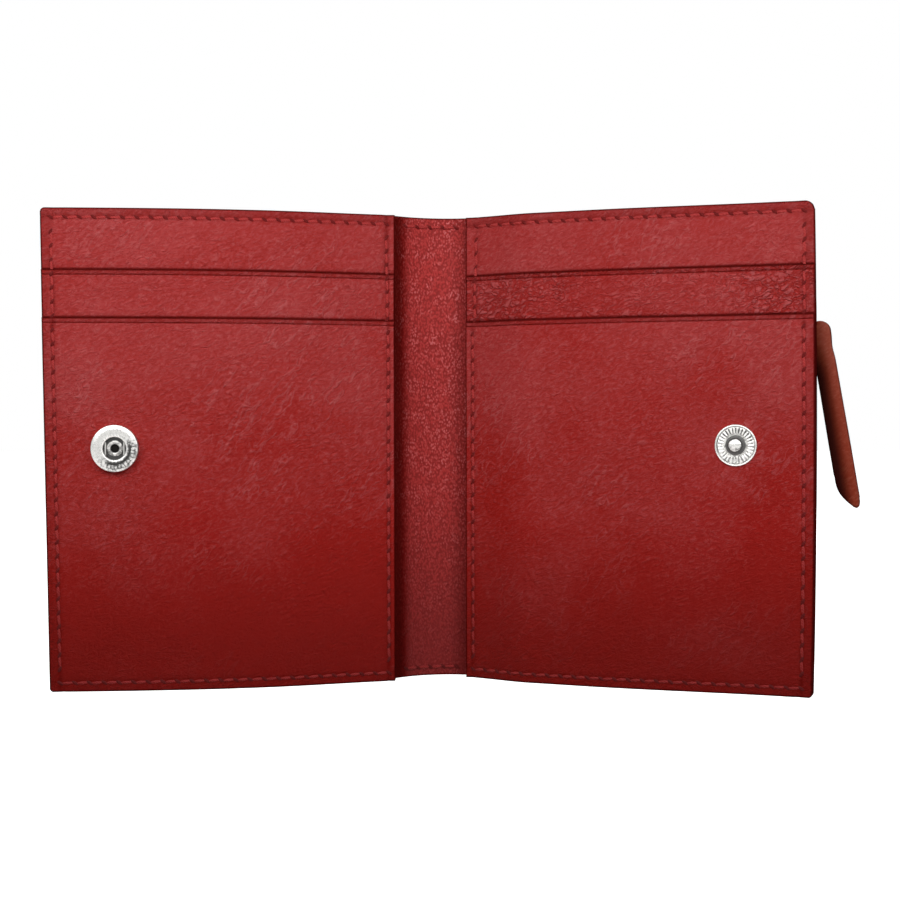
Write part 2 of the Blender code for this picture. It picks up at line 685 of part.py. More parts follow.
def build_slider():
    """Slider plate over the teeth, with an arm that carries the pull's pin between the strap's leaves."""
    half_width = (ZIP_FRONT - ZIP_BACK) / 2 - RUNNING_GAP
    half_length = SLIDER_LENGTH / 2
    nose = half_width * SLIDER_NOSE_SHARE
    low = PULL_HEIGHT - half_length
    high = PULL_HEIGHT + half_length
    shoulder = PULL_HEIGHT - SLIDER_SHOULDER
    corners = [
        (ZIP_MIDDLE - nose, low),
        (ZIP_MIDDLE + nose, low),
        (ZIP_MIDDLE + half_width, shoulder),
        (ZIP_MIDDLE + half_width, high),
        (ZIP_MIDDLE - half_width, high),
        (ZIP_MIDDLE - half_width, shoulder),
    ]
    outline = rounded_outline(corners, [SLIDER_CORNER_RADIUS] * len(corners))
    plate = as_mesh(across_edge("zip_slider", outline, SLIDER_INSIDE, SLIDER_OUTSIDE, NICKEL))
    root = SLIDER_OUTSIDE - OVERRUN
    arm_corners = [
        (root, PULL_HEIGHT - ARM_RADIUS),
        (PULL_REACH + ARM_RADIUS, PULL_HEIGHT - ARM_RADIUS),
        (PULL_REACH + ARM_RADIUS, PULL_HEIGHT + ARM_RADIUS),
        (root, PULL_HEIGHT + ARM_RADIUS),
    ]
    arm_outline = rounded_outline(arm_corners, [0, ARM_CORNER_RADIUS, ARM_CORNER_RADIUS, 0])
    eye = circle(PULL_REACH, PULL_HEIGHT, PIN_RADIUS + RUNNING_GAP, PIN_STEPS)
    back = ZIP_MIDDLE - ARM_THICKNESS / 2
    arm = sheet("slider_arm", RIGHT_HALF, [arm_outline, eye], back, back + ARM_THICKNESS, NICKEL)
    combine(plate, as_mesh(arm), "UNION")


def strap_outline():
    """The strap hanging down from its pin: round head, straight sides and a slanted, rounded tip."""
    half = STRAP_WIDTH / 2
    head = [(half * math.cos(turn), half * math.sin(turn)) for turn in spread(0, math.pi, STRAP_HEAD_STEPS)]
    tip = [
        (-half, STRAP_SLANT - STRAP_LENGTH),
        (STRAP_TIP_SET, -STRAP_LENGTH),
        (half, STRAP_TIP_RISE - STRAP_LENGTH),
    ]
    radii = [STRAP_TIP_RADIUS, STRAP_CORNER_RADIUS, STRAP_CORNER_RADIUS]
    corners = [head[0], head[-1], *tip]
    rounded = rounded_outline(corners, [0, 0, *radii])
    return head + rounded[2:]


def build_pull():
    """Two leather leaves on either side of the slider's arm, with the pin in a pit of each."""
    gap = ARM_THICKNESS / 2 + SEAT_GAP
    pit = STRAP_LEAF * STRAP_PIT_SHARE
    reach = gap + pit
    for name, near, direction in (("pull_strap_front", gap, 1), ("pull_strap_back", -gap, -1)):
        leaf = flat_curve(name, [strap_outline()], STRAP_LEAF)
        middle = near + direction * STRAP_LEAF / 2
        place(leaf, PULL, (0, -middle, 0), (math.pi / 2, 0, 0))
        leaf = finish(as_mesh(leaf), STRAP)
        hole = flat_curve(name + "_pit", [circle(0, 0, PIN_RADIUS + RUNNING_GAP, PIN_STEPS)], pit + OVERRUN)
        middle = near + direction * (pit - OVERRUN) / 2
        place(hole, PULL, (0, -middle, 0), (math.pi / 2, 0, 0))
        combine(leaf, as_mesh(hole), "DIFFERENCE")
    length = 2 * (reach - RUNNING_GAP)
    pin = flat_curve("pull_pin", [circle(0, 0, PIN_RADIUS, PIN_STEPS)], length)
    place(pin, PULL, (0, 0, 0), (math.pi / 2, 0, 0))
    finish(pin, STEEL)


clear_scene()
PARTS = new_collection("Snap wallet")
CUTTERS = new_collection("Cutters", hidden=True)

LEATHER = material("red_leather", (0.33, 0.032, 0.03), 0.5)
PEBBLED = material("pebbled_leather", (0.24, 0.02, 0.02), 0.55)
LINING = material("lining", (0.2, 0.02, 0.02), 0.8)
STRAP = material("strap_leather", (0.2, 0.03, 0.02), 0.5)
TAPE = material("zip_tape", (0.16, 0.012, 0.012), 0.9)
NICKEL = material("nickel", (0.75, 0.72, 0.68), 0.25, 1.0)
STEEL = material("spring_steel", (0.45, 0.44, 0.42), 0.35, 1.0)

SPINE = new_empty("spine_frame", None, (0, 0, 0), (0, 0, SPINE_TURN))
LEFT_HALF = new_empty("left_fold_axis", SPINE, (-FOLD_SPAN / 2, -FOLD_SET, 0), (0, 0, LEFT_FOLD))
RIGHT_HALF = new_empty("right_fold_axis", SPINE, (FOLD_SPAN / 2, -FOLD_SET, 0), (0, 0, -RIGHT_FOLD))
SOCKET_AXIS = snap_frame("socket_axis", LEFT, LEFT_HALF, SOCKET_HEIGHT)
STUD_AXIS = snap_frame("stud_axis", RIGHT, RIGHT_HALF, STUD_HEIGHT)
PULL = new_empty(
    "pull_axis", RIGHT_HALF, (PULL_REACH, -ZIP_MIDDLE, PULL_HEIGHT), (0, -PULL_LEAN, 0)
)

build_spine()
build_left_shell()
build_right_shell()
build_pockets(LEFT, "left", LEFT_WIDTH, SOCKET_AXIS, SOCKET_HEIGHT, LEFT_TOP_RADIUS)
build_pockets(RIGHT, "right", RIGHT_WIDTH, STUD_AXIS, STUD_HEIGHT, RIGHT_TOP_RADIUS)
build_socket()
build_stud()
build_coin_lining()
build_zip()
build_slider()
build_pull()
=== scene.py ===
"""Snap wallet: its leather, thread, lining and metal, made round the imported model.

Lengths are in metres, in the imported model's frame. A half of the wallet has three directions from its
fold axis: u runs outwards, n towards the inside face and z up. n is 0 on the front of the linings.
"""

import json
import math

import bmesh
import bpy
import numpy as np
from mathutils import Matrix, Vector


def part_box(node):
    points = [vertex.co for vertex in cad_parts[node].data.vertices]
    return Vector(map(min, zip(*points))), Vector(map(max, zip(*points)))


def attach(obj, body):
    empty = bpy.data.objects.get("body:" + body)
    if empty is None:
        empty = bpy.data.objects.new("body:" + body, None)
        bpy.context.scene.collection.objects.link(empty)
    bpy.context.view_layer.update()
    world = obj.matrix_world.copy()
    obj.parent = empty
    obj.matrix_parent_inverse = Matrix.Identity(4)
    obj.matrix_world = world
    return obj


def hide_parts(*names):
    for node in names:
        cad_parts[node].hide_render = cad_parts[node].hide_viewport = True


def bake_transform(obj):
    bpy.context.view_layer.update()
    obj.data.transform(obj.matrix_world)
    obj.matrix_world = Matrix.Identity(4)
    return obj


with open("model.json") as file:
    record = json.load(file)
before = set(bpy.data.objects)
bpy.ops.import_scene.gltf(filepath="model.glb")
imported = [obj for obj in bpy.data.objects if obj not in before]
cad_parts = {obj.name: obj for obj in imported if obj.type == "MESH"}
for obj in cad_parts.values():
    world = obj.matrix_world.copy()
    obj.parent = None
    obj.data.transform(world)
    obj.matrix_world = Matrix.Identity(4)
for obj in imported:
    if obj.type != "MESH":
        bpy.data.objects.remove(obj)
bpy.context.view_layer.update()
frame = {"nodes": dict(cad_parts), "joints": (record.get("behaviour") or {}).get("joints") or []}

MM = 0.001
LEFT = -1
RIGHT = 1
WORDS = {LEFT: "left", RIGHT: "right"}
BODIES = {LEFT: "left_half", RIGHT: "right_half"}

# The frame's own sizes
JOINTS = {joint["name"]: joint for joint in frame["joints"]}
FOLD_AXES = {side: np.array(JOINTS[WORDS[side] + "_fold"]["pos_m"][:2]) for side in (LEFT, RIGHT)}
SPINE_TURN = math.radians(15.1)
HALF_TURNS = {LEFT: SPINE_TURN - math.radians(4), RIGHT: SPINE_TURN - math.radians(36)}
PANEL_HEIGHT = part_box("card_base_left")[1].z
UPPER_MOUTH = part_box("card_pocket_upper_left")[1].z
FRONT_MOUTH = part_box("card_pocket_front_left")[1].z
UPPER_FLOORS = {side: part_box("card_pocket_upper_" + WORDS[side])[0].z for side in (LEFT, RIGHT)}
WIDTHS = {LEFT: 91.5 * MM, RIGHT: 92.3 * MM}
COVER_INSET = 0.8 * MM
LINING_INSET = 0.9 * MM
TOP_RADII = {LEFT: 1.2 * MM, RIGHT: 2.5 * MM}
BOTTOM_RADIUS = 1 * MM
SNAP_REACH = 72.8 * MM
SNAP_HEIGHTS = {LEFT: 62.3 * MM, RIGHT: 62.9 * MM}
FOLD_SPAN = 21.3 * MM
FOLD_SET = 4.6 * MM
SPINE_SAG = 3 * MM
# Painted shadow in each fold, where the panel's inner edge shades the spine strip
FOLD_SHADOWS = {LEFT: 0.85, RIGHT: 0.3}
SPINE_RADIUS = (FOLD_SPAN**2 / 4 + SPINE_SAG**2) / (2 * SPINE_SAG)
SPINE_CENTRE = SPINE_SAG - SPINE_RADIUS - FOLD_SET

# Levels of the layers, in n
COVER_BACK = -2.3 * MM
COVER_FRONT = -0.66 * MM
LINING_BACK = -0.6 * MM
BASE_BACK = 0.1 * MM
BASE_FRONT = 1.2 * MM
UPPER_BACK = 1.25 * MM
UPPER_FRONT = 2.4 * MM
POCKET_BACK = 2.45 * MM
POCKET_FRONT = 3.9 * MM
SNAP_SEAT = 0.1 * MM  # above the front pocket's leather, where it is square to the snap

# The outer leather and the strip, which wrap the folds
COVER_BEND = (0.62, 5 * MM)  # share of the spine's half arc that stays round, and u where the fold ends
STRIP_BEND = (0.8, 3.6 * MM)
COVER_OUT = 1.6 * MM  # from the spine's arc to the middle of the outer leather
STRIP_OUT = 0.3 * MM
STRIP_LEVEL = -0.3 * MM
STRIP_THICKNESS = 0.58 * MM
STRIP_END = 8 * MM
LINING_START = STRIP_END + 0.2 * MM

# How the leather of each half arches towards the inside: S curves along u, as start, end and rise
BOWS = {
    LEFT: ((-3 * MM, 37 * MM, 3.4 * MM), (42 * MM, 142 * MM, -9.5 * MM)),
    RIGHT: ((1 * MM, 19 * MM, 2.9 * MM), (34 * MM, WIDTHS[RIGHT] - 4.3 * MM, -2.9 * MM)),
}
LEFT_TAPER = 1.9 * MM  # the left half is this much narrower at the foot
RIGHT_TAPER = 0.6 * MM  # the right half is this much narrower at the foot and the top

# Coin pocket, which bulges the right cover backwards
COIN_BULGE = 4 * MM
BULGE_START = 5 * MM
BULGE_FULL = 66 * MM
BULGE_FOOT = 2 * MM
BULGE_FULL_FOOT = 7.5 * MM
BULGE_FULL_TOP = FRONT_MOUTH + 1.6 * MM
BULGE_TOP = PANEL_HEIGHT - 9 * MM
COIN_START = 34 * MM
COIN_FOOT = 9 * MM
COIN_BACK = -1.1 * MM
TAPE_LEVELS = (-1.3 * MM, -0.9 * MM)
ZIP_EDGE = 86.8 * MM
TAPE_WIDTH = 9 * MM

# Where base, upper and front leather start, in u: their edges line up as the viewer sees them
PANEL_STARTS = {LEFT: (-0.2 * MM, 0.1 * MM, 0.3 * MM), RIGHT: (-0.9 * MM, -0.45 * MM, -0.05 * MM)}

# Seams
SEAM_TOP = 2.5 * MM
SEAM_FOOT = 2.3 * MM
SEAM_OUTER = 2.7 * MM
SEAM_INNER = 2.1 * MM
BACK_SEAM_START = 6 * MM
SPINE_SEAM_HALF = 7.2 * MM
STITCH_PITCH = 3.65 * MM
THREAD_SIZES = (1.5 * MM, 0.44 * MM, 0.38 * MM)  # half sizes along, across and up
HOLE_SIZES = (0.95 * MM, 0.43 * MM, 0.2 * MM)
THREAD_LIFT = 0.08 * MM
HOLE_LIFT = 0.16 * MM
THREAD_SLANT = math.radians(5)
HOLE_SLANT = math.radians(-33)
GROOVE_DEPTH = 0.26 * MM
GROOVE_WIDTH = 0.5 * MM
COVER_RIDGE = 0.12 * MM  # the same seam, on the outside
PILLOW_HEIGHT = 0.2 * MM  # the leather rises inside its seams
PILLOW_REACH = 4 * MM
WAVE_HEIGHT = 0.06 * MM
CREASE_DROP = 1.35 * MM  # from a pocket's mouth down to the line pressed into it
CREASE_DEPTH = 0.26 * MM
CREASE_WIDTH = 0.17 * MM
MOUTH_LIFT = 0.12 * MM  # a pocket's mouth stands this far off


def ramp(value, start, end):
    """0 before start, 1 after end, and 3t^2 - 2t^3 between."""
    share = np.clip((value - start) / (end - start), 0, 1)
    return share * share * (3 - 2 * share)


def bell(distance, width):
    """1 at the middle and e^-(d/w)^2 at a distance d from it."""
    return np.exp(-((distance / width) ** 2))


def bow(side, u):
    """How far the leather of a half arches towards the inside."""
    return sum(rise * ramp(u, start, end) for start, end, rise in BOWS[side])


def curve_through(places, table):
    """A smooth curve through a table of (place, value): cubic pieces whose slopes match at each place."""
    known, values = table[:, 0], table[:, 1]
    slopes = np.gradient(values, known)
    piece = np.clip(np.searchsorted(known, places) - 1, 0, len(known) - 2)
    length = known[piece + 1] - known[piece]
    t = np.clip((places - known[piece]) / length, 0, 1)
    start = (1 + 2 * t) * (1 - t) ** 2 * values[piece] + t * (1 - t) ** 2 * length * slopes[piece]
    end = t * t * (3 - 2 * t) * values[piece + 1] + t * t * (t - 1) * length * slopes[piece + 1]
    return start + end


def unit(vectors):
    """Vectors divided by their lengths."""
    return vectors / np.linalg.norm(vectors, axis=-1, keepdims=True)


def directions(side):
    """The directions u and n of a half, as unit vectors in x and y."""
    turn = HALF_TURNS[side]
    outwards = side * np.array([math.cos(turn), math.sin(turn)])
    inwards = np.array([math.sin(turn), -math.cos(turn)])
    return outwards, inwards


def in_half(side, u, n, z):
    """World points of a half: fold axis + u * outwards + n * inwards, with z kept."""
    outwards, inwards = directions(side)
    u, n, z = np.broadcast_arrays(u, n, z)
    flat = FOLD_AXES[side] + u[..., None] * outwards + n[..., None] * inwards
    return np.concatenate([flat, z[..., None]], axis=-1)


def bulge(u, z):
    """How far the coin pocket pushes the right cover back."""
    up = ramp(z, BULGE_FOOT, BULGE_FULL_FOOT) * (1 - ramp(z, BULGE_FULL_TOP, BULGE_TOP))
    return COIN_BULGE * ramp(u, BULGE_START, BULGE_FULL) * up


def outer_edge(side, z):
    """u of a half's outer edge at a height: its width, tapered, less the arcs of its two corners."""
    share = z / PANEL_HEIGHT
    taper = LEFT_TAPER * (1 - share) if side == LEFT else RIGHT_TAPER * (2 * share - 1) ** 2
    top_radius = TOP_RADII[side]
    into_top = np.clip(z - PANEL_HEIGHT + top_radius, 0, top_radius)
    into_foot = np.clip(BOTTOM_RADIUS - z, 0, BOTTOM_RADIUS)
    corners = top_radius - np.sqrt(top_radius**2 - into_top**2)
    corners += BOTTOM_RADIUS - np.sqrt(BOTTOM_RADIUS**2 - into_foot**2)
    return WIDTHS[side] - taper - corners


def rounded_over(distance, radius):
    """Drop of a rounded edge at a distance from it: r - sqrt(r^2 - (r - d)^2), and 0 past r."""
    inside = np.clip(radius - distance, 0, radius)
    return radius - np.sqrt(radius**2 - inside**2)


def lines(start, end, pitch, extra=()):
    """Grid places from start to end: close together at both ends and round the extra places."""
    close = np.array([0, 0.05, 0.12, 0.22, 0.36, 0.55, 0.8, 1.1]) * MM
    around = np.linspace(-0.5, 0.5, 11) * MM
    middle = np.linspace(start + close[-1], end - close[-1], max(int((end - start) / pitch), 2))
    places = np.concatenate([start + close, middle, end - close] + [place + around for place in extra])
    places = np.sort(places[(places >= start) & (places <= end)])
    return places[np.concatenate([[True], np.diff(places) > 0.02 * MM])]


def new_object(name, data):
    """An object at the origin, linked into the scene."""
    made = bpy.data.objects.new(name, data)
    bpy.context.scene.collection.objects.link(made)
    return made


def make_piece(name, points, faces, materials, shade=0, material_indices=None):
    """A smooth mesh object at the origin, with its shade attribute and its sharp edges marked."""
    mesh = bpy.data.meshes.new(name)
    mesh.from_pydata(points.reshape(-1, 3).tolist(), [], faces)
    mesh.polygons.foreach_set("use_smooth", [True] * len(mesh.polygons))
    values = np.zeros(len(mesh.vertices)) + np.clip(shade, 0, 1).ravel()
    mesh.attributes.new("shade", "FLOAT", "POINT").data.foreach_set("value", values.astype(np.float32))
    for material in materials:
        mesh.materials.append(material)
    if material_indices is not None:
        mesh.polygons.foreach_set("material_index", material_indices)
    mesh.set_sharp_from_angle(angle=math.radians(50))
    mesh.update()
    return new_object(name, mesh)


def face_outwards(piece, weld=False):
    """Points all faces outwards, and merges doubled points first, such as those of a pole, if asked to."""
    work = bmesh.new()
    work.from_mesh(piece.data)
    if weld:
        bmesh.ops.remove_doubles(work, verts=work.verts, dist=0.001 * MM)
    bmesh.ops.recalc_face_normals(work, faces=work.faces)
    work.to_mesh(piece.data)
    work.free()
    return piece


def quads_of(first, second, third, fourth):
    """Faces of four corners, from four grids of point numbers."""
    return np.stack([first.ravel(), second.ravel(), third.ravel(), fourth.ravel()], axis=1)


def closed_sheet(name, front, back, side, shade, material):
    """A closed sheet from two grids of points, rows by columns, joined round their rims."""
    rows, columns = front.shape[:2]
    count = rows * columns
    index = np.arange(count).reshape(rows, columns)
    face = quads_of(index[:-1, :-1], index[:-1, 1:], index[1:, 1:], index[1:, :-1])
    rim = np.concatenate([index[0], index[1:, -1], index[-1, -2::-1], index[-2:0:-1, 0]])
    after = np.roll(rim, -1)
    walls = quads_of(after, rim, rim + count, after + count)
    faces = np.concatenate([face, (face + count)[:, ::-1], walls])
    if side == LEFT:
        faces = faces[:, ::-1]
    points = np.concatenate([front.reshape(-1, 3), back.reshape(-1, 3)])
    shades = np.concatenate([shade.ravel(), shade.ravel()])
    return make_piece(name, points, faces.tolist(), [material], shades)


def seam_distance(side, u, z):
    """Distance to the nearest of the four seams round a half."""
    to_sides = np.minimum(np.abs(u - SEAM_INNER), np.abs(outer_edge(side, z) - SEAM_OUTER - u))
    to_ends = np.minimum(np.abs(z - SEAM_FOOT), np.abs(PANEL_HEIGHT - SEAM_TOP - z))
    return np.minimum(to_sides, to_ends)


def relief(side, u, z):
    """Small rises of the sewn leather: a groove along the seams, a pillow inside them and slow waves."""
    distance = seam_distance(side, u, z)
    groove = GROOVE_DEPTH * bell(distance, GROOVE_WIDTH)
    pillow = PILLOW_HEIGHT * (1 - np.exp(-distance / PILLOW_REACH))
    waves = np.sin(u / (7.3 * MM) + z / (11 * MM)) * np.sin(z / (9.1 * MM) - u / (17 * MM))
    waves += np.sin(u / (15 * MM) - z / (13 * MM) + 1)
    return pillow - groove + WAVE_HEIGHT * waves * ramp(distance, 1 * MM, 8 * MM)


def sheet_grid(side, heights, start, outer, pitch, inset=0, end=None):
    """u, z and the edge's u over a sheet, rows by columns: u = start + share * (edge - start).

    The shares come from grid places between start and outer. Without an end, the edge is the half's own,
    less the inset.
    """
    shares = (lines(start, outer, pitch) - start) / (outer - start)
    z = np.repeat(heights[:, None], len(shares), axis=1)
    edge = np.full_like(z, end) if end else outer_edge(side, z) - inset
    return start + shares[None, :] * (edge - start), z, edge


def leather_sheet(name, side, start, foot, top, back, front, material, rounding, pitch=0.9 * MM, mouth=False,
                  covered=None):
    """A sheet of one half between two levels, from its start beside the fold axis to the outer edge.

    Its front is level + bow + relief, less the rounding at its edges and the line pressed below its mouth.
    covered is the height up to which the next pocket lies on it.
    """
    extra = ([top - CREASE_DROP] if mouth else []) + ([covered + 0.3 * MM] if covered else [])
    u, z, edge = sheet_grid(side, lines(foot, top, pitch, extra), start, WIDTHS[side], pitch)
    distance = np.minimum(np.minimum(u - start, edge - u), np.minimum(z - foot, top - z))
    drop = rounded_over(distance, rounding)
    rise = bow(side, u) + relief(side, u, z)
    shade = 1 - ramp(distance, 0.15 * MM, 0.6 * MM)
    # Painted shade along the seams' groove
    shade = np.maximum(shade, 0.5 * bell(seam_distance(side, u, z), GROOVE_WIDTH))
    # A darker band along the border, out to the seams
    to_border = np.minimum(edge - u, np.minimum(z, PANEL_HEIGHT - z))
    shade = np.maximum(shade, 0.2 * (1 - ramp(to_border, 1.4 * MM, 2.6 * MM)))
    # Painted shadow just above the height where the next pocket covers this sheet
    if covered:
        shade = np.maximum(shade, bell(z - covered - 0.1 * MM, 0.42 * MM))
    if mouth:
        below = top - CREASE_DROP - z
        crease = bell(below, CREASE_WIDTH)
        across = ramp(u, start, 3 * MM) * ramp(edge - u, 0, 3 * MM)
        rise = rise - CREASE_DEPTH * crease + MOUTH_LIFT * across * np.exp(-(np.abs(top - z) / (3 * MM)))
        # A darker band from the mouth down to the crease, and painted shade in the pressed crease
        shade = np.maximum(shade, np.where(below > -CREASE_DROP, 0.28 * (1 - ramp(below, -0.3 * MM, 0)), 0))
        shade = np.maximum(shade, 0.62 * crease)
    front_points = in_half(side, u, front + rise - drop, z)
    back_points = in_half(side, u, back + bow(side, u) + drop, z)
    return closed_sheet(name, front_points, back_points, side, shade, material)


def turn_xy(x, y, turn):
    """Places in x and y, turned about the origin."""
    return np.stack([x * math.cos(turn) - y * math.sin(turn), x * math.sin(turn) + y * math.cos(turn)], -1)


def spine_path(side, radius, level, bend_share, bend_end):
    """Points in x and y from the middle of the spine to u = bend_end of a half.

    An arc about the spine's centre, then a cubic curve that leaves along the arc and arrives along u.
    """
    full = math.asin((FOLD_AXES[RIGHT] - FOLD_AXES[LEFT])[0] / 2 / math.cos(SPINE_TURN) / radius)
    angles = np.linspace(0, full * bend_share, 24)
    arc = turn_xy(side * radius * np.sin(angles), SPINE_CENTRE + radius * np.cos(angles), SPINE_TURN)
    outwards, inwards = directions(side)
    end = FOLD_AXES[side] + bend_end * outwards + (level + bow(side, bend_end)) * inwards
    along = unit(arc[-1] - arc[-2])
    slope = (bow(side, bend_end + 0.1 * MM) - bow(side, bend_end - 0.1 * MM)) / (0.2 * MM)
    reach = np.linalg.norm(end - arc[-1]) * 0.4
    t = np.linspace(0, 1, 22)[1:, None]
    one, two = arc[-1] + along * reach, end - (outwards + slope * inwards) * reach
    bend = (1 - t) ** 3 * arc[-1] + 3 * t * (1 - t) ** 2 * one + 3 * t * t * (1 - t) * two + t**3 * end
    return np.concatenate([arc, bend])


def wrap_sheet(name, side, radius, middle, thickness, bend, end, rounding, material, bulged=False, fold_shadow=0):
    """A sheet from the middle of the spine round the fold and out over a half.

    Two copies of its path, half its thickness to either side, and past the bend the half's own levels.
    Without an end it runs to the cover's own edge. fold_shadow is the painted shadow it reaches in the fold.
    """
    path = spine_path(side, radius, middle, *bend)
    along = unit(np.gradient(path, axis=0))
    inwards = side * np.stack([along[:, 1], -along[:, 0]], axis=-1)
    heights = lines(0, PANEL_HEIGHT, 1.2 * MM)
    bend_end = bend[1]
    outer = end if end else WIDTHS[side] - COVER_INSET
    grid = sheet_grid(side, heights, bend_end, outer, 1.2 * MM, COVER_INSET, end)
    u, z, edge = (values[:, 1:] for values in grid)
    rise = bow(side, u) - (bulge(u, z) if bulged else 0)
    if not end:
        rise = rise + COVER_RIDGE * bell(seam_distance(side, u, z), GROOVE_WIDTH)
    path_z = np.repeat(heights[:, None], len(path), axis=1)
    ends = np.minimum(heights, PANEL_HEIGHT - heights)[:, None]
    path_drop = rounded_over(ends, rounding)
    drop = rounded_over(np.minimum(edge - u, ends), rounding)
    layers = []
    for sign in (1, -1):
        offset = sign * (thickness / 2 - path_drop)[..., None]
        flat = path[None] + inwards[None] * offset
        round_fold = np.concatenate([flat, path_z[..., None]], axis=-1)
        over_half = in_half(side, u, middle + rise + sign * (thickness / 2 - drop), z)
        layers.append(np.concatenate([round_fold, over_half], axis=1))
    # Painted shadow in the fold, where the panel's inner edge shades it
    painted_fold_shadow = fold_shadow * ramp(np.arange(len(path)), 0.27 * len(path), 0.56 * len(path))
    path_shade = np.maximum(1 - ramp(ends, 0.1 * MM, 0.55 * MM), painted_fold_shadow[None])
    half_shade = 1 - ramp(np.minimum(edge - u, ends), 0.1 * MM, 0.55 * MM)
    shade = np.concatenate([path_shade, half_shade], axis=1)
    piece = closed_sheet(name, layers[0], layers[1], side, shade, material)
    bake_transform(piece)
    return piece


def inner_sheet(name, side, start, end, foot, top, back, front, material, bulged=False):
    """A plain sheet inside a half, which follows the leather's bow, and the cover's bulge if asked to.

    Without an end it runs to just inside the half's outer edge.
    """
    outer = end if end else WIDTHS[side]
    u, z, edge = sheet_grid(side, lines(foot, top, 3 * MM), start, outer, 3 * MM, LINING_INSET, end)
    rise = bow(side, u) - (bulge(u, z) if bulged else 0)
    distance = np.minimum(np.minimum(u - start, edge - u), np.minimum(z - foot, top - z))
    drop = rounded_over(distance, (front - back) / 2.5)
    front_points = in_half(side, u, front + rise - drop, z)
    back_points = in_half(side, u, back + rise + drop, z)
    return closed_sheet(name, front_points, back_points, side, np.zeros_like(u), material)


def bead_shape(segments=6, rings=3):
    """Points and faces of a unit ball with few faces: rings of points between two poles."""
    across = np.linspace(0, math.pi, rings + 2)[1:-1, None]
    round_it = np.linspace(0, 2 * math.pi, segments, endpoint=False)[None]
    ring = np.stack([np.cos(across) + 0 * round_it, np.sin(across) * np.cos(round_it),
                     np.sin(across) * np.sin(round_it)], axis=-1)
    points = np.concatenate([ring.reshape(-1, 3), [[1, 0, 0], [-1, 0, 0]]])
    index = np.arange(rings * segments).reshape(rings, segments)
    after = np.roll(index, -1, axis=1)
    sides = quads_of(index[:-1], index[1:], after[1:], after[:-1])
    first = np.full(segments, rings * segments)
    caps = [np.stack([first, index[0], after[0]], 1), np.stack([first + 1, after[-1], index[-1]], 1)]
    return points, sides, np.concatenate(caps)


def beads(name, runs, materials):
    """Many small balls stretched along a run of places.

    Each run gives places, directions along and up, the half sizes along, across and up, a slant and
    which of the materials it takes.
    """
    shape, sides, caps = bead_shape()
    points, faces, kinds = [], [], []
    offset = 0
    for places, along, up, sizes, slant, kind in runs:
        across = np.cross(up, along)
        slanted = along * math.cos(slant) + across * math.sin(slant)
        across = np.cross(up, slanted)
        made = places[:, None] + (shape * sizes)[None] @ np.stack([slanted, across, up], axis=1)
        starts = offset + np.arange(len(places))[:, None, None] * len(shape)
        new = (starts + sides[None]).reshape(-1, 4).tolist() + (starts + caps[None]).reshape(-1, 3).tolist()
        points.append(made.reshape(-1, 3))
        faces += new
        kinds += [kind] * len(new)
        offset += len(places) * len(shape)
    return face_outwards(make_piece(name, np.concatenate(points), faces, materials, 0, kinds))


def panel_level(side, u, z):
    """Front level of the panel's leather at a place: base, upper pocket or front pocket."""
    level = np.where(z > UPPER_MOUTH, BASE_FRONT, np.where(z > FRONT_MOUTH, UPPER_FRONT, POCKET_FRONT))
    return level + bow(side, u) + relief(side, u, z)


def stitch_runs(points, up):
    """Threads between places on a seam, and dark beads of painted shade for its slanted holes: two runs."""
    along = unit(np.gradient(points, axis=0))
    up = unit(up - along * np.sum(up * along, axis=1)[:, None])
    middles = (points[1:] + points[:-1]) / 2
    threads = (middles + up[1:] * THREAD_LIFT, along[1:], up[1:], THREAD_SIZES, THREAD_SLANT, 0)
    holes = (points + up * HOLE_LIFT, along, up, HOLE_SIZES, HOLE_SLANT, 1)
    return [threads, holes]


def spaced(start, end):
    """Evenly spaced places on a seam, about a stitch apart."""
    return np.linspace(start, end, max(int(round(abs(end - start) / STITCH_PITCH)), 1) + 1)


def half_seams(side):
    """The seam round one half, on its front and on its back, as runs of beads."""
    foot, top = SEAM_FOOT, PANEL_HEIGHT - SEAM_TOP
    rows = []
    for z in (foot, top):
        u = spaced(SEAM_INNER, float(outer_edge(side, np.array(z))) - SEAM_OUTER)
        rows.append((u, np.full_like(u, z)))
    upright = spaced(foot, top)[1:-1]
    rows.append((np.full_like(upright, SEAM_INNER), upright))
    rows.append((outer_edge(side, upright) - SEAM_OUTER, upright))
    inside = directions(side)[1]
    runs = []
    for u, z in rows:
        up = np.repeat([[inside[0], inside[1], 0]], len(u), axis=0)
        runs += stitch_runs(in_half(side, u, panel_level(side, u, z), z), up)
        keep = u > BACK_SEAM_START
        if keep.sum() > 2:
            u, z, up = u[keep], z[keep], up[keep]
            rise = bow(side, u) - (bulge(u, z) if side == RIGHT else 0)
            runs += stitch_runs(in_half(side, u, COVER_BACK + rise + COVER_RIDGE, z), -up)
    return runs


def spine_seams():
    """The seams across the spine, at its foot and top, on its front and back."""
    runs = []
    for radius, sign in ((SPINE_RADIUS, -1), (SPINE_RADIUS - COVER_BACK, 1)):
        half = SPINE_SEAM_HALF / radius
        angles = np.linspace(-half, half, 5)
        flat = turn_xy(radius * np.sin(angles), SPINE_CENTRE + radius * np.cos(angles), SPINE_TURN)
        away = turn_xy(np.sin(angles), np.cos(angles), SPINE_TURN) * sign
        for z in (SEAM_FOOT, PANEL_HEIGHT - SEAM_TOP):
            points = np.column_stack([flat, np.full(len(angles), z)])
            runs += stitch_runs(points, np.column_stack([away, np.zeros(len(angles))]))
    return runs


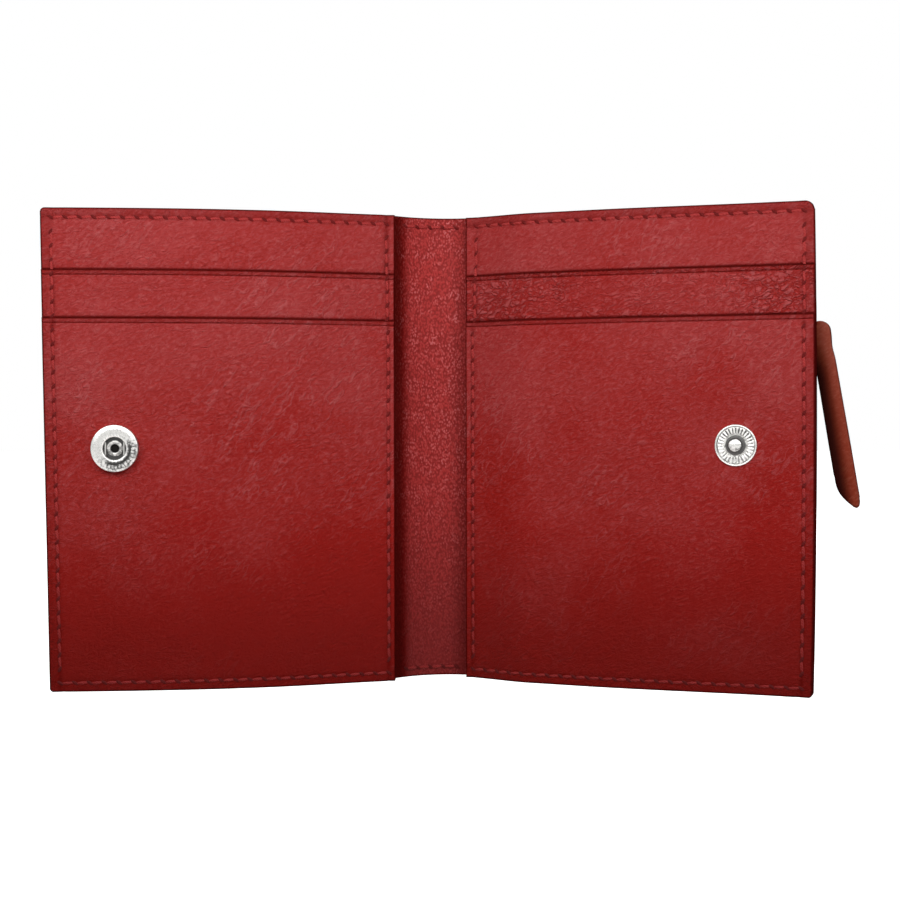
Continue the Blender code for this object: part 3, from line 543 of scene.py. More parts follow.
def turned(name, side, profile, shape_top, material, steps=128):
    """A closed profile of (radius, height) turned about n at the snap.

    shape_top gives, for radii and angles, the rise to add to the height and the shade there.
    """
    radius, height = profile[:, :1], profile[:, 1:]
    angle = np.linspace(0, 2 * math.pi, steps, endpoint=False)[None]
    rise, shade = shape_top(radius, height, angle)
    step = 0.1 * MM
    tilt = math.atan((bow(side, SNAP_REACH + step) - bow(side, SNAP_REACH - step)) / (2 * step))
    across = radius * np.cos(angle)
    above = SNAP_SEAT + height + rise
    u = SNAP_REACH + across * math.cos(tilt) - above * math.sin(tilt)
    n = POCKET_FRONT + bow(side, SNAP_REACH) + across * math.sin(tilt) + above * math.cos(tilt)
    points = in_half(side, u, n, SNAP_HEIGHTS[side] + radius * np.sin(angle))
    index = np.arange(points.shape[0] * steps).reshape(-1, steps)
    after = np.roll(index, -1, axis=0)
    faces = quads_of(index, np.roll(index, -1, axis=1), np.roll(after, -1, axis=1), after)
    return face_outwards(make_piece(name, points, faces.tolist(), [material], shade + 0 * angle), weld=True)


def densify(corners, pitch):
    """More points along a profile's straight stretches, about a pitch apart."""
    made = []
    for first, second in zip(corners, corners[1:]):
        count = max(int(np.hypot(*(second - first)) / pitch), 1)
        made.append(first + (second - first) * np.linspace(0, 1, count, endpoint=False)[:, None])
    return np.concatenate(made + [corners[-1:]])


def socket_profile():
    """The socket: its raised ring, its sides, and the hollow that holds the spring."""
    face = np.array([(2.95, 1.98), (3.08, 2.12), (3.3, 2.19), (3.55, 2.17), (3.75, 2.18), (4.2, 2.2),
                     (4.8, 2.18), (5.2, 2.13), (5.5, 2.05), (5.8, 1.93), (5.98, 1.76), (6.05, 1.45)]) * MM
    places = np.linspace(2.95 * MM, 6.05 * MM, 44)
    dome = np.column_stack([places, curve_through(places, face)])
    rest = np.array([(6.06, 0.9), (6.05, 0.5), (6.0, 0.1), (5.9, 0), (1.5, 0), (1.5, 0.45), (3.9, 0.45),
                     (3.9, 1.36), (2.85, 1.36), (2.85, 1.8), (2.88, 1.92)]) * MM
    return np.concatenate([dome, densify(rest, 0.35 * MM)])


def socket_face(radius, height, angle):
    """Plain beads on two rings of the socket's face: a raised cosine round it, a bell across it."""
    on_face = height > 1.7 * MM
    inner = (0.5 + 0.5 * np.cos(26 * angle)) * bell(radius - 3.45 * MM, 0.25 * MM)
    outer = (0.5 + 0.5 * np.cos(34 * angle)) * bell(radius - 4.85 * MM, 0.36 * MM)
    edge = (0.5 + 0.5 * np.cos(64 * angle)) * bell(radius - 5.85 * MM, 0.2 * MM)
    rise = (0.04 * MM * inner + 0.04 * MM * outer + 0.14 * MM * edge) * on_face
    # Painted shade: on the side away from the light, between the beads, in the hollow and on the rim
    away = ramp(-np.cos(angle - 0.9), -0.35, 0.6)
    side_shade = away * ramp(radius, 3.2 * MM, 3.7 * MM) * (1 - 0.4 * ramp(radius, 5.2 * MM, 5.6 * MM))
    rim = ramp(radius, 5.72 * MM, 5.98 * MM)
    valley_shade = bell(radius - 4.05 * MM, 0.2 * MM) + 0.45 * bell(radius - 5.4 * MM, 0.2 * MM)
    between = bell(radius - 3.45 * MM, 0.3 * MM) - inner
    between += 0.6 * (bell(radius - 4.85 * MM, 0.4 * MM) - outer)
    inside = (radius < 4 * MM) & (height < 1.9 * MM)
    shade = 0.15 * valley_shade + 0.25 * between + 0.86 * side_shade * (1 - 0.75 * outer)
    shade = on_face * shade + 0.9 * inside
    shade = np.maximum(shade, (0.15 + 0.6 * away) * rim * (1 - 0.9 * edge))
    return rise, np.clip(shade, 0, 1)


def rivet_profile():
    """The socket's rivet: a flared tube with a closed end, and its flange behind the leather."""
    # Its closed end is a dark floor of painted shade inside the tube: rivet_face paints it dark
    return np.array([(0, 0.5), (1, 0.5), (1.05, 0.95), (1.2, 1.12), (1.5, 1.16), (1.9, 1.14), (2.05, 1.02),
                     (1.95, 0.9), (1.2, 0.86), (1.2, -1.3), (4.1, -1.3), (4.2, -1.5), (4.1, -1.72),
                     (0, -1.75)]) * MM


def rivet_face(radius, height, angle):
    """Painted shade: dark inside the tube, and a darker grey round it, down in the socket's bore."""
    return 0 * radius, np.where(radius < 1.1 * MM, 1.0, 0.55)


def stud_profile():
    """The stud: a ball, its neck, a ribbed plate and a rolled rim."""
    share = np.sin(np.linspace(0, math.pi / 2, 12))
    ball = np.column_stack([1.95 * MM * share, 1.82 * MM + 0.98 * MM * np.sqrt(1 - share**2)])
    neck = np.array([(1.95, 1.66), (1.78, 1.42), (1.5, 1.24), (1.5, 0.8), (1.62, 0.72), (2.3, 0.7),
                     (2.5, 0.66), (2.62, 0.5), (2.7, 0.36), (2.9, 0.34)]) * MM
    ribs = np.column_stack([np.linspace(2.95, 4.6, 12), np.full(12, 0.36)]) * MM
    rim = np.array([(4.66, 0.34), (4.72, 0.5), (4.78, 0.7), (4.88, 0.8), (5.02, 0.83), (5.16, 0.78),
                    (5.26, 0.66), (5.3, 0.5), (5.3, 0.1), (5.25, 0), (3, 0), (0, 0)]) * MM
    return np.concatenate([ball, neck, ribs, rim])


def stud_face(radius, height, angle):
    """Thirty ribs that run outwards between the collar and the rim."""
    rib = 0.5 + 0.5 * np.cos(30 * angle)
    across = ramp(radius, 2.85 * MM, 3.1 * MM) * (1 - ramp(radius, 4.4 * MM, 4.6 * MM))
    on_face = height > 0.2 * MM
    rise = 0.2 * MM * rib * across * on_face
    # Painted shade and reflection: grooves, rib valleys (more at the top), under the ball, its lower side
    # and edge
    groove_shade = bell(radius - 2.78 * MM, 0.12 * MM) + 0.8 * bell(radius - 4.66 * MM, 0.07 * MM)
    under = 0.9 * (radius < 2.62 * MM) * (height < 1.66 * MM)
    ball_shade = ramp(-np.sin(angle) * radius / (1.95 * MM), -0.1, 0.55)
    ball_shade = np.maximum(0.85 * ball_shade, 0.92 * ramp(radius, 1.3 * MM, 1.6 * MM)) * (height > 1.66 * MM)
    upper_shade = 0.8 + 0.35 * ramp(np.sin(angle), -0.6, 0.8)
    shade = on_face * (upper_shade * (1 - rib) * across + groove_shade) + np.maximum(under * on_face, ball_shade)
    return rise, shade


# The pull's strap, in places along it from the pin down
STRAP_HALF = 2.6 * MM
STRAP_LENGTH = 45.2 * MM
INNER_SIDE = np.array([(-36.5, 2.6), (-38.6, 2.58), (-40.2, 2.3), (-41.5, 1.75), (-43, 0.75), (-44.3, -0.35),
                       (-44.95, -1), (-45.2, -1.5)])[::-1] * MM
OUTER_SIDE = np.array([(-42.6, 2.6), (-43.8, 2.52), (-44.5, 2.3), (-45, 1.95), (-45.2, 1.5)])[::-1] * MM
STRAP_THICKNESS = 1.16 * MM  # from the pin's middle to the outside of a leaf
PULL_LEAN = math.radians(9.7)
PIN = (WIDTHS[RIGHT] + 0.3 * MM, -2.75 * MM, JOINTS["pull_swing"]["pos_m"][2])


def rounded_end(distance):
    """0.98 at an end, and 0 from 1.2 mm inside it."""
    return np.clip(1 - distance / (1.2 * MM), 0, 0.98)


def strap_leaf(name, direction, material):
    """One leaf of the strap: its outline's two sides as curves along it, its face a flattened dome.

    Across it, thickness is full * (1 - s^4)^0.5, with s from -1 at one side to 1 at the other.
    """
    head = STRAP_HALF * np.cos(np.linspace(0, math.pi / 2, 14))[:-1]
    below = np.concatenate([np.linspace(0, -42, 64)[1:] * MM, np.linspace(-42.2, -45.19, 18) * MM])
    v = np.concatenate([head, [0], below])
    round_head = np.sqrt(np.clip(STRAP_HALF**2 - np.clip(v, 0, None) ** 2, 0, None))
    waist = 0.28 * MM * bell(v + 4.2 * MM, 2.2 * MM) - 0.1 * MM * ramp(-v, 10 * MM, 34 * MM)
    inner = np.where(v > -36.5 * MM, round_head, curve_through(v, INNER_SIDE)) - waist * (v > -36.5 * MM)
    outer = np.where(v > -42.6 * MM, round_head, curve_through(v, OUTER_SIDE)) - waist * (v > -42.6 * MM)
    share = np.sin(np.linspace(-math.pi / 2, math.pi / 2, 25))[None]
    x = (outer - inner)[:, None] / 2 + share * np.maximum((outer + inner)[:, None] / 2, 0.005 * MM)
    gap = (0.58 - 0.56 * ramp(-v, 2.2 * MM, 6 * MM)) * MM
    ends = np.minimum(STRAP_HALF - v, v + STRAP_LENGTH)
    full = (STRAP_THICKNESS - gap) * np.sqrt(1 - rounded_end(ends) ** 2)
    dome = full[:, None] * (1 - share**4) ** 0.5
    near = gap[:, None] + 0 * x
    far = gap[:, None] + np.maximum(dome, 0.06 * MM)
    v = v[:, None] + 0 * x
    leaning = turn_xy(x, v, PULL_LEAN)
    u, z = PIN[0] + leaning[..., 0], PIN[2] + leaning[..., 1]
    sides = [in_half(RIGHT, u, PIN[1] + direction * level, z) for level in (far, near)]
    edge = np.abs(share) + 0 * x
    # Painted shadow of the wallet on the strap's side next to it, near the pin; the edges are darker
    wallet_shadow = ramp(-x / STRAP_HALF, -0.75, 0.6) * ramp(-v, -3 * MM, 12 * MM)
    shade = np.clip(0.7 * ramp(edge, 0.93, 1.0) + 0.92 * wallet_shadow, 0, 1)
    return face_outwards(closed_sheet(name, sides[0], sides[1], RIGHT, shade, material), weld=True)


class Nodes:
    """Adds nodes to a material's or a group's tree and links them."""

    def __init__(self, tree):
        self.tree = tree

    def add(self, kind, inputs=None, **settings):
        made = self.tree.nodes.new(kind)
        for key, value in settings.items():
            setattr(made, key, value)
        self.fill(made, inputs or {})
        return made

    def fill(self, node, values):
        for key, value in values.items():
            self.feed(node.inputs[key], value)

    def feed(self, socket, value):
        if isinstance(value, bpy.types.NodeSocket):
            self.tree.links.new(value, socket)
        else:
            socket.default_value = value

    def math(self, operation, *values, clamp=False):
        made = self.add("ShaderNodeMath", operation=operation, use_clamp=clamp)
        for socket, value in zip(made.inputs, values):
            self.feed(socket, value)
        return made.outputs[0]

    def times(self, first, second):
        return self.math("MULTIPLY", first, second)

    def plus(self, first, second, clamp=False):
        return self.math("ADD", first, second, clamp=clamp)

    def vector(self, operation, first, second):
        return self.add("ShaderNodeVectorMath", {0: first, 1: second}, operation=operation).outputs[0]

    def turned(self, place, degrees):
        """A place turned about the y axis."""
        settings = {"Vector": place, "Rotation": (0, math.radians(degrees), 0)}
        return self.add("ShaderNodeMapping", settings).outputs[0]

    def height(self, place):
        return self.add("ShaderNodeSeparateXYZ", {"Vector": place}).outputs[2]

    def shade(self):
        return self.add("ShaderNodeAttribute", attribute_name="shade").outputs["Fac"]

    def mix(self, factor, first, second):
        made = self.add("ShaderNodeMix", data_type="RGBA")
        self.feed(made.inputs[0], factor)
        self.feed(made.inputs[6], first)
        self.feed(made.inputs[7], second)
        return made.outputs[2]

    def ramp(self, value, low, high, start=0, end=1):
        made = self.add("ShaderNodeMapRange", interpolation_type="SMOOTHSTEP")
        for socket, given in zip(made.inputs, (value, low, high, start, end)):
            self.feed(socket, given)
        return made.outputs[0]

    def noise(self, vector, scale, detail, rough=0.5):
        settings = {"Vector": vector, "Scale": scale, "Detail": detail, "Roughness": rough}
        return self.add("ShaderNodeTexNoise", settings).outputs["Fac"]


def hide_group():
    """Grain of the hide: slanting flecks, soft crossing wrinkles, light veins and a painted sheen.

    Height is the bump. Painted Sheen is 1 where sheen is painted in, Pit Shade where shade is painted in.
    """
    tree = bpy.data.node_groups.new("hide grain", "ShaderNodeTree")
    tree.interface.new_socket("Vector", in_out="INPUT", socket_type="NodeSocketVector")
    for label in ("Wrinkles", "Wrinkle Size"):
        tree.interface.new_socket(label, in_out="INPUT", socket_type="NodeSocketFloat")
    for label in ("Height", "Bloom", "Pits"):
        tree.interface.new_socket(label, in_out="OUTPUT", socket_type="NodeSocketFloat")
    nodes = Nodes(tree)
    given, out = nodes.add("NodeGroupInput").outputs, nodes.add("NodeGroupOutput").inputs
    place = given["Vector"]
    warp = nodes.add("ShaderNodeTexNoise", {"Vector": place, "Scale": 260, "Detail": 3})
    push = nodes.vector("SUBTRACT", warp.outputs["Color"], (0.5, 0.5, 0.5))
    push = nodes.add("ShaderNodeVectorMath", {0: push, "Scale": 0.0022}, operation="SCALE").outputs[0]
    warped = nodes.vector("ADD", place, push)
    slanted = nodes.turned(warped, 28)
    drawn = nodes.vector("MULTIPLY", slanted, (1, 1, 2.1))
    flecks = nodes.noise(drawn, 800, 5, 0.68)
    fine = nodes.noise(place, 3300, 2)
    crossed = nodes.turned(nodes.vector("MULTIPLY", warped, (1, 1, 1.8)), -24)
    folds = []
    for direction in (drawn, crossed):
        waves = nodes.noise(direction, given["Wrinkle Size"], 1)
        folds.append(nodes.math("ABSOLUTE", nodes.math("SUBTRACT", waves, 0.5)))
    pillow = nodes.ramp(nodes.math("MINIMUM", folds[0], nodes.times(folds[1], 1.4)), 0, 0.15)
    patches = nodes.ramp(nodes.noise(place, 60, 2), 0.36, 0.62, 0.5, 1)
    amount = nodes.times(given["Wrinkles"], patches)
    wrinkle = nodes.times(nodes.ramp(pillow, 0, 0.4, 1, 0), amount)
    height = nodes.plus(nodes.times(flecks, 2), nodes.times(fine, 0.25))
    leaning = nodes.vector("MULTIPLY", nodes.turned(warped, 50), (0.4, 1, 1.5))
    veins = nodes.math("ABSOLUTE", nodes.math("SUBTRACT", nodes.noise(leaning, 150, 3, 0.6), 0.5))
    veins = nodes.times(nodes.ramp(veins, 0, 0.028, 1, 0),
                        nodes.ramp(nodes.noise(place, 38, 2), 0.46, 0.6))
    height = nodes.plus(height, nodes.times(veins, 0.5))
    nodes.feed(out["Height"], nodes.plus(height, nodes.times(pillow, amount)))
    # Painted sheen in patches, more higher up, with painted highlights on light flecks, veins and wrinkle
    # crests
    clouds = nodes.noise(slanted, 34, 3, 0.5)
    up = nodes.height(place)
    raised = nodes.ramp(up, 8 * MM, 105 * MM, -0.04, 0.26)
    painted_sheen = nodes.plus(raised, nodes.times(nodes.math("SUBTRACT", clouds, 0.5), 0.6))
    highlight_specks = nodes.ramp(flecks, 0.44, 0.74, 0, 0.38)
    highlight_specks = nodes.plus(highlight_specks, nodes.times(veins, 0.3))
    tops = nodes.times(nodes.ramp(pillow, 0.3, 1, 0, 0.13), amount)
    highlight_specks = nodes.plus(highlight_specks, tops)
    # Fewer painted highlights towards the foot
    highlight_specks = nodes.times(highlight_specks, nodes.ramp(up, 0, 60 * MM, 0.35, 1))
    painted_sheen = nodes.plus(painted_sheen, highlight_specks, clamp=True)
    # Less painted sheen in the wrinkles' folds
    shadow = nodes.math("SUBTRACT", 1, nodes.times(wrinkle, 0.35), clamp=True)
    nodes.feed(out["Bloom"], nodes.times(painted_sheen, shadow))
    # Painted shade in the grain's pits and in the wrinkles' folds
    pit_shade = nodes.plus(nodes.ramp(flecks, 0.2, 0.48, 0.9, 0), nodes.times(wrinkle, 0.3), clamp=True)
    nodes.feed(out["Pits"], pit_shade)
    return tree


def new_material(name):
    """A material with its nodes, its shader and the place in the model's frame."""
    made = bpy.data.materials.new(name)
    made.use_nodes = True
    nodes = Nodes(made.node_tree)
    shader = made.node_tree.nodes["Principled BSDF"]
    place = nodes.add("ShaderNodeTexCoord").outputs["Object"]
    return made, nodes, shader, place


def bumped(nodes, shader, height, distance):
    """Bumps a shader's surface by distance * height."""
    bump = nodes.add("ShaderNodeBump", {"Height": height, "Distance": distance})
    nodes.feed(shader.inputs["Normal"], bump.outputs[0])


def leather(name, deep, sheen_tone, edge, wrinkles, wrinkle_size, depth, rough):
    """Dyed leather: red under a painted sheen; painted shade in pits, at the foot and where shade says."""
    made, nodes, shader, place = new_material(name)
    grain = nodes.add("ShaderNodeGroup", node_tree=HIDE)
    nodes.fill(grain, {"Vector": place, "Wrinkles": wrinkles, "Wrinkle Size": wrinkle_size})
    painted_sheen = grain.outputs["Bloom"]
    burnish_and_shade = nodes.shade()
    # Painted sheen over the deep red, then painted shade in the pits
    color = nodes.mix(painted_sheen, (*deep, 1), (*sheen_tone, 1))
    pit_shade = nodes.times(grain.outputs["Pits"], 0.45)
    color = nodes.mix(pit_shade, color, (*(0.45 * c for c in deep), 1))
    up = nodes.height(place)
    # Painted shade: darker towards the foot, where less light falls
    color = nodes.mix(nodes.ramp(up, 0, 50 * MM, 0.55, 0), color, (*(0.4 * c for c in deep), 1))
    # Edge colour where the shade attribute says: burnished edges, and painted shade and shadow
    color = nodes.mix(burnish_and_shade, color, (*edge, 1))
    dullness = nodes.ramp(painted_sheen, 0, 1, rough, rough + 0.12)
    gloss = nodes.times(nodes.ramp(painted_sheen, 0, 0.7, 0.05, 0.22), nodes.ramp(burnish_and_shade, 0, 0.6, 1, 0))
    nodes.fill(shader, {"Base Color": color, "Roughness": dullness, "Specular IOR Level": gloss})
    bumped(nodes, shader, grain.outputs["Height"], depth)
    return made


def pebbled_leather():
    """Pebbled strip: round pebbles from smooth cells, with painted highlights and painted shade between
    them.
    """
    made, nodes, shader, place = new_material("pebbled_leather")
    tall = nodes.vector("MULTIPLY", place, (1, 1, 0.66))
    pebbles = nodes.add("ShaderNodeTexVoronoi", {"Vector": tall, "Scale": 2100, "Smoothness": 0.7},
                        feature="SMOOTH_F1")
    pebble = nodes.ramp(pebbles.outputs["Distance"], 0.1, 0.75, 1, 0)
    clouds = nodes.noise(tall, 420, 4, 0.7)
    height = nodes.times(pebble, nodes.ramp(clouds, 0.3, 0.7, 0.5, 1))
    up = nodes.height(place)
    # Painted highlights on the pebbles, fewer towards the foot
    tip_highlights = nodes.times(nodes.ramp(pebble, 0.35, 1), nodes.ramp(clouds, 0.4, 0.68))
    tip_highlights = nodes.times(tip_highlights, nodes.ramp(up, 0, 90 * MM, 0.35, 1))
    # Painted shade between the pebbles, then the painted highlights
    color = nodes.mix(nodes.ramp(pebble, 0, 0.7), (0.24, 0.009, 0.008, 1), (0.4, 0.026, 0.023, 1))
    color = nodes.mix(nodes.times(tip_highlights, 0.66), color, (0.64, 0.17, 0.175, 1))
    burnish_and_shade = nodes.shade()
    # Painted shade: darker towards the foot
    foot = nodes.ramp(up, 0, 60 * MM, 0.65, 0)
    color = nodes.mix(foot, color, (0.12, 0.003, 0.003, 1))
    nodes.fill(shader, {
        "Base Color": nodes.mix(burnish_and_shade, color, (0.07, 0.004, 0.003, 1)),
        "Roughness": nodes.ramp(tip_highlights, 0, 1, 0.6, 0.42),
        "Specular IOR Level": nodes.ramp(burnish_and_shade, 0, 0.7, 0.22, 0),
    })
    bumped(nodes, shader, height, 0.2 * MM)
    return made


def woven(name, dark, light, pitch):
    """Plain weave: two sets of threads that pass over each other by turns, as products of sine waves."""
    made, nodes, shader, place = new_material(name)
    split = nodes.add("ShaderNodeSeparateXYZ", {"Vector": place})
    turns = 2 * math.pi / pitch
    across = nodes.math("SINE", nodes.times(split.outputs[0], turns))
    upright = nodes.math("SINE", nodes.times(split.outputs[2], turns))
    weave = nodes.times(across, upright)
    fuzz = nodes.noise(place, 2400, 2)
    height = nodes.plus(nodes.times(weave, 0.5), nodes.times(fuzz, 0.5))
    color = nodes.mix(nodes.ramp(height, -0.4, 0.9), (*dark, 1), (*light, 1))
    nodes.fill(shader, {"Base Color": color, "Roughness": 0.85, "Sheen Weight": 0.3})
    bumped(nodes, shader, height, 0.05 * MM)
    return made


def thread_material(name, dark, light):
    """Twisted thread: slanting waves along it."""
    made, nodes, shader, place = new_material(name)
    twist = nodes.add("ShaderNodeTexWave", {"Vector": place, "Scale": 900, "Distortion": 1.5},
                      bands_direction="DIAGONAL")
    fibre = nodes.noise(place, 3800, 2)
    tone = nodes.times(nodes.plus(twist.outputs["Fac"], fibre), 0.5)
    color = nodes.mix(tone, (*dark, 1), (*light, 1))
    # Painted shade: darker towards the foot, where less light falls
    foot_shade = nodes.ramp(nodes.height(place), 3 * MM, 60 * MM, 0.4, 0)
    color = nodes.mix(foot_shade, color, (*(0.4 * c for c in dark), 1))
    nodes.fill(shader, {"Base Color": color, "Roughness": 0.6, "Specular IOR Level": 0.15})
    bumped(nodes, shader, tone, 0.05 * MM)
    return made


def metal(name, color, shade_color, rough):
    """Plated metal: fine scratches in its roughness, darkened where the shade attribute paints shade."""
    made, nodes, shader, place = new_material(name)
    marks = nodes.noise(nodes.vector("MULTIPLY", place, (1, 1, 9)), 900, 4, 0.7)
    smudge = nodes.noise(place, 420, 2)
    # Painted shade, shadow and reflection from the shade attribute, mottled in patches
    metal_shade = nodes.shade()
    mottled = nodes.ramp(nodes.noise(place, 1100, 3, 0.6), 0.4, 0.6, -0.65, 0.1)
    mottled = nodes.times(mottled, nodes.ramp(metal_shade, 0, 0.35, 0, 0.9))
    mottled = nodes.times(mottled, nodes.ramp(metal_shade, 0.86, 0.9, 1, 0))
    darkened = nodes.plus(metal_shade, mottled, clamp=True)
    tone = nodes.math("MAXIMUM", darkened, nodes.ramp(smudge, 0.62, 0.85, 0, 0.25))
    tone = nodes.mix(tone, (*color, 1), (*shade_color, 1))
    worn = nodes.plus(nodes.ramp(marks, 0.3, 0.8, 0, 0.14), nodes.times(metal_shade, 0.25))
    nodes.fill(shader, {"Base Color": tone, "Roughness": nodes.plus(worn, rough), "Metallic": 1})
    bumped(nodes, shader, marks, 0.004 * MM)
    return made


HIDE = hide_group()
DEEP_RED = (0.33, 0.0115, 0.008)
# Colour of the painted sheen
SHEEN_RED = (0.42, 0.08, 0.083)
# Burnished edges, and the colour of painted shade in grooves, creases and folds
BURNISHED_AND_SHADE = (0.085, 0.005, 0.004)
RED = leather("red_leather", DEEP_RED, SHEEN_RED, BURNISHED_AND_SHADE, 0.55, 420, 0.19 * MM, 0.4)
WRINKLED = leather("wrinkled_leather", DEEP_RED, SHEEN_RED, BURNISHED_AND_SHADE, 1.7, 420, 0.19 * MM, 0.4)
# Strap leather: its near-black edge colour also paints the wallet's shadow on the strap
STRAP = leather("strap_leather", (0.21, 0.024, 0.01), (0.27, 0.055, 0.025), (0.014, 0.003, 0.003), 0.05,
                300, 0.025 * MM, 0.4)
PEBBLED = pebbled_leather()
LINING = woven("lining_cloth", (0.1, 0.008, 0.008), (0.2, 0.02, 0.018), 0.5 * MM)
TAPE = woven("zip_tape", (0.07, 0.006, 0.006), (0.17, 0.014, 0.014), 0.7 * MM)
THREAD = thread_material("red_thread", (0.28, 0.01, 0.008), (0.45, 0.055, 0.053))
# Needle holes: dark beads of painted shade, darker towards the foot
HOLE_SHADE = thread_material("needle_hole", (0.09, 0.002, 0.002), (0.17, 0.006, 0.005))
# Plate colours, and the darker colours of their painted shade
NICKEL = metal("nickel_plate", (0.6, 0.59, 0.57), (0.025, 0.024, 0.023), 0.2)
STEEL = metal("spring_steel", (0.5, 0.49, 0.47), (0.012, 0.011, 0.01), 0.3)


def rides(piece, body, slot, *nodes):
    """Tells what body a piece moves with and the nodes that it replaces; slot is not used."""
    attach(piece, body)
    if nodes:
        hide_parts(*nodes)
    return piece


def build_half(side):
    """The leather, the lining and the thread of one half."""
    word, body = WORDS[side], BODIES[side]
    base_start, upper_start, front_start = PANEL_STARTS[side]
    base = leather_sheet("base_panel_" + word, side, base_start, 0, PANEL_HEIGHT, BASE_BACK, BASE_FRONT, RED,
                         0.4 * MM, 1.2 * MM, covered=UPPER_MOUTH)
    rides(base, body, "leather_red", "card_base_" + word)
    hide = WRINKLED if side == RIGHT else RED
    upper = leather_sheet("upper_pocket_" + word, side, upper_start, UPPER_FLOORS[side], UPPER_MOUTH,
                          UPPER_BACK, UPPER_FRONT, hide, 0.42 * MM, mouth=True, covered=FRONT_MOUTH)
    rides(upper, body, "leather_red", "card_pocket_upper_" + word)
    pocket = leather_sheet("front_pocket_" + word, side, front_start, 0, FRONT_MOUTH, POCKET_BACK,
                           POCKET_FRONT, RED, 0.5 * MM, 0.8 * MM, mouth=True)
    rides(pocket, body, "leather_red", "card_pocket_front_" + word)
    lining = inner_sheet("half_lining_" + word, side, LINING_START, None, 0.1 * MM,
                         PANEL_HEIGHT - 0.1 * MM, LINING_BACK, 0, LINING)
    rides(lining, body, "lining_red", "lining_" + word)
    cover = wrap_sheet("outer_leather_" + word, side, SPINE_RADIUS + COVER_OUT,
                       (COVER_BACK + COVER_FRONT) / 2, COVER_FRONT - COVER_BACK, COVER_BEND, None, 0.5 * MM,
                       RED, bulged=side == RIGHT)
    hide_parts("cover_" + word, "cover_spine")
    strip = wrap_sheet("spine_strip_" + word, side, SPINE_RADIUS + STRIP_OUT, STRIP_LEVEL, STRIP_THICKNESS,
                       STRIP_BEND, STRIP_END, 0.2 * MM, PEBBLED, fold_shadow=FOLD_SHADOWS[side])
    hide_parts("lining_spine")
    seams = beads("panel_stitches_" + word, half_seams(side), [THREAD, HOLE_SHADE])
    rides(seams, body, "leather_red")


def build_snap():
    """Socket with its rivet, and stud, turned round their common line."""
    socket = turned("socket_shell", LEFT, socket_profile(), socket_face, NICKEL)
    rides(socket, "left_half", "nickel", "snap_socket")
    rivet = turned("socket_rivet_shell", LEFT, rivet_profile(), rivet_face, STEEL, 64)
    rides(rivet, "left_half", "spring_steel", "snap_socket_rivet")
    stud = turned("stud_shell", RIGHT, stud_profile(), stud_face, NICKEL, 180)
    rides(stud, "right_half", "nickel", "snap_stud")


def build_coin_pocket():
    """The pocket's lining and the zip's tapes, between the right lining and the bulged cover."""
    foot, top = COIN_FOOT, FRONT_MOUTH + 0.3 * MM
    start = ZIP_EDGE - TAPE_WIDTH
    front = inner_sheet("coin_cloth_front", RIGHT, COIN_START, start - 0.3 * MM, foot, top, COIN_BACK,
                        LINING_BACK - 0.1 * MM, LINING)
    rides(front, "right_half", "lining_red", "coin_lining_front")
    back = inner_sheet("coin_cloth_back", RIGHT, COIN_START, start - 0.3 * MM, foot, top,
                       COVER_FRONT + 0.05 * MM, COVER_FRONT + 0.5 * MM, LINING, bulged=True)
    rides(back, "right_half", "lining_red", "coin_lining_back")
    foot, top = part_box("zip_tape_front")[0].z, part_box("zip_tape_front")[1].z
    front = inner_sheet("zip_cloth_front", RIGHT, start, ZIP_EDGE, foot, top, *TAPE_LEVELS, TAPE)
    rides(front, "right_half", "tape_red", "zip_tape_front")
    back = inner_sheet("zip_cloth_back", RIGHT, start, ZIP_EDGE, foot, top, COVER_FRONT + 0.06 * MM,
                       COVER_FRONT + 0.46 * MM, TAPE, bulged=True)
    rides(back, "right_half", "tape_red", "zip_tape_back")


def build_pull():
    """The strap's two leaves of leather, in front of and behind the slider's pin."""
    for name, node, direction in (("pull_leaf_front", "pull_strap_front", 1),
                                  ("pull_leaf_back", "pull_strap_back", -1)):
        rides(strap_leaf(name, direction, STRAP), "pull", "leather_strap", node)


def dress_frame():
    """Better finishes for the CAD nodes that stay."""
    for node, finish in (
        ("snap_spring", STEEL), ("snap_stud_rivet", STEEL), ("pull_pin", STEEL),
        ("zip_teeth_front", NICKEL), ("zip_teeth_back", NICKEL), ("zip_top_stop", NICKEL),
        ("zip_bottom_stop", NICKEL), ("zip_slider", NICKEL),
    ):
        for slot in frame["nodes"][node].material_slots:
            slot.material = finish


def area_light(name, place, aim, size, power):
    """A rectangular lamp that looks at its aim."""
    data = bpy.data.lights.new(name, "AREA")
    data.shape = "RECTANGLE"
    data.size, data.size_y = size
    data.energy = power
    lamp = new_object(name, data)
    lamp.location = place
    towards = Vector(aim) - Vector(place)
    lamp.rotation_euler = towards.to_track_quat("-Z", "Y").to_euler()


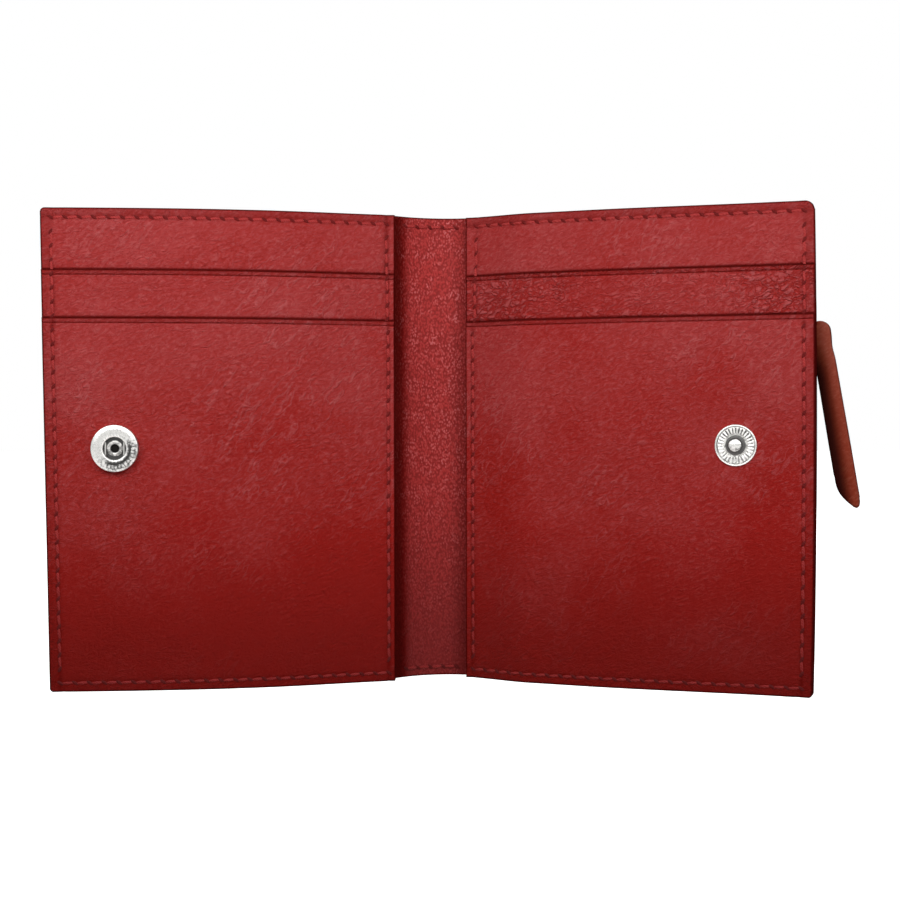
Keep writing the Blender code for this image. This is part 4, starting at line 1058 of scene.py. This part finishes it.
def build_stage():
    """Pale floor, white surroundings, soft light from above, and the camera at the photograph's angle."""
    mesh = bpy.data.meshes.new("floor")
    reach = 3
    mesh.from_pydata([(-reach, -reach, 0), (reach, -reach, 0), (reach, reach, 0), (-reach, reach, 0)], [],
                     [(0, 1, 2, 3)])
    floor = new_object("floor", mesh)
    made = bpy.data.materials.new("pale_floor")
    made.use_nodes = True
    nodes = Nodes(made.node_tree)
    shader = made.node_tree.nodes["Principled BSDF"]
    nodes.fill(shader, {"Base Color": (0.86, 0.86, 0.86, 1), "Roughness": 0.9, "Specular IOR Level": 0,
                        "Emission Color": (1, 1, 1, 1), "Emission Strength": 1.1})
    dim = nodes.add("ShaderNodeBsdfDiffuse", {"Color": (0.22, 0.2, 0.2, 1)})
    path = nodes.add("ShaderNodeLightPath").outputs
    seen = nodes.math("MAXIMUM", path["Is Camera Ray"], path["Is Glossy Ray"])
    both = nodes.add("ShaderNodeMixShader", {0: seen, 1: dim.outputs[0], 2: shader.outputs[0]})
    nodes.feed(made.node_tree.nodes["Material Output"].inputs[0], both.outputs[0])
    mesh.materials.append(made)

    world = bpy.data.worlds.new("studio")
    world.use_nodes = True
    bpy.context.scene.world = world
    nodes = Nodes(world.node_tree)
    path = nodes.add("ShaderNodeLightPath").outputs
    seen = nodes.math("MAXIMUM", path["Is Camera Ray"], path["Is Glossy Ray"])
    seen = nodes.math("MAXIMUM", seen, path["Is Transmission Ray"])
    soft = nodes.add("ShaderNodeBackground", {"Color": (1, 1, 1, 1), "Strength": 0.08})
    white = nodes.add("ShaderNodeBackground", {"Color": (1, 1, 1, 1), "Strength": 1})
    both = nodes.add("ShaderNodeMixShader", {0: seen, 1: soft.outputs[0], 2: white.outputs[0]})
    nodes.feed(world.node_tree.nodes["World Output"].inputs[0], both.outputs[0])

    area_light("long_lamp", (-0.01, -0.18, 0.17), (0.01, -0.02, 0.08), (0.42, 0.08), 0.45)
    area_light("front_fill", (-0.35, -0.7, 0.4), (0, 0, 0.09), (0.4, 0.3), 0.82)
    area_light("side_fill", (0.5, -0.42, 0.2), (0, 0, 0.07), (0.25, 0.2), 0.55)
    area_light("back_fill", (0.15, 0.7, 0.4), (0, 0, 0.07), (0.5, 0.4), 2.6)

    camera = new_object("camera", bpy.data.cameras.new("camera"))
    camera.data.lens = 61.77
    camera.data.sensor_width = 36
    camera.data.clip_start = 0.01
    camera.location = (5.93 * MM, -420.57 * MM, 69.3 * MM)
    camera.rotation_euler = (math.radians(90 - 1.1), math.radians(0.1), 0)
    bpy.context.scene.camera = camera
    bpy.context.scene.view_settings.view_transform = "Standard"


for half in (LEFT, RIGHT):
    build_half(half)
rides(beads("spine_stitches", spine_seams(), [THREAD, HOLE_SHADE]), "spine", "leather_red")
build_snap()
build_coin_pocket()
build_pull()
dress_frame()
build_stage()
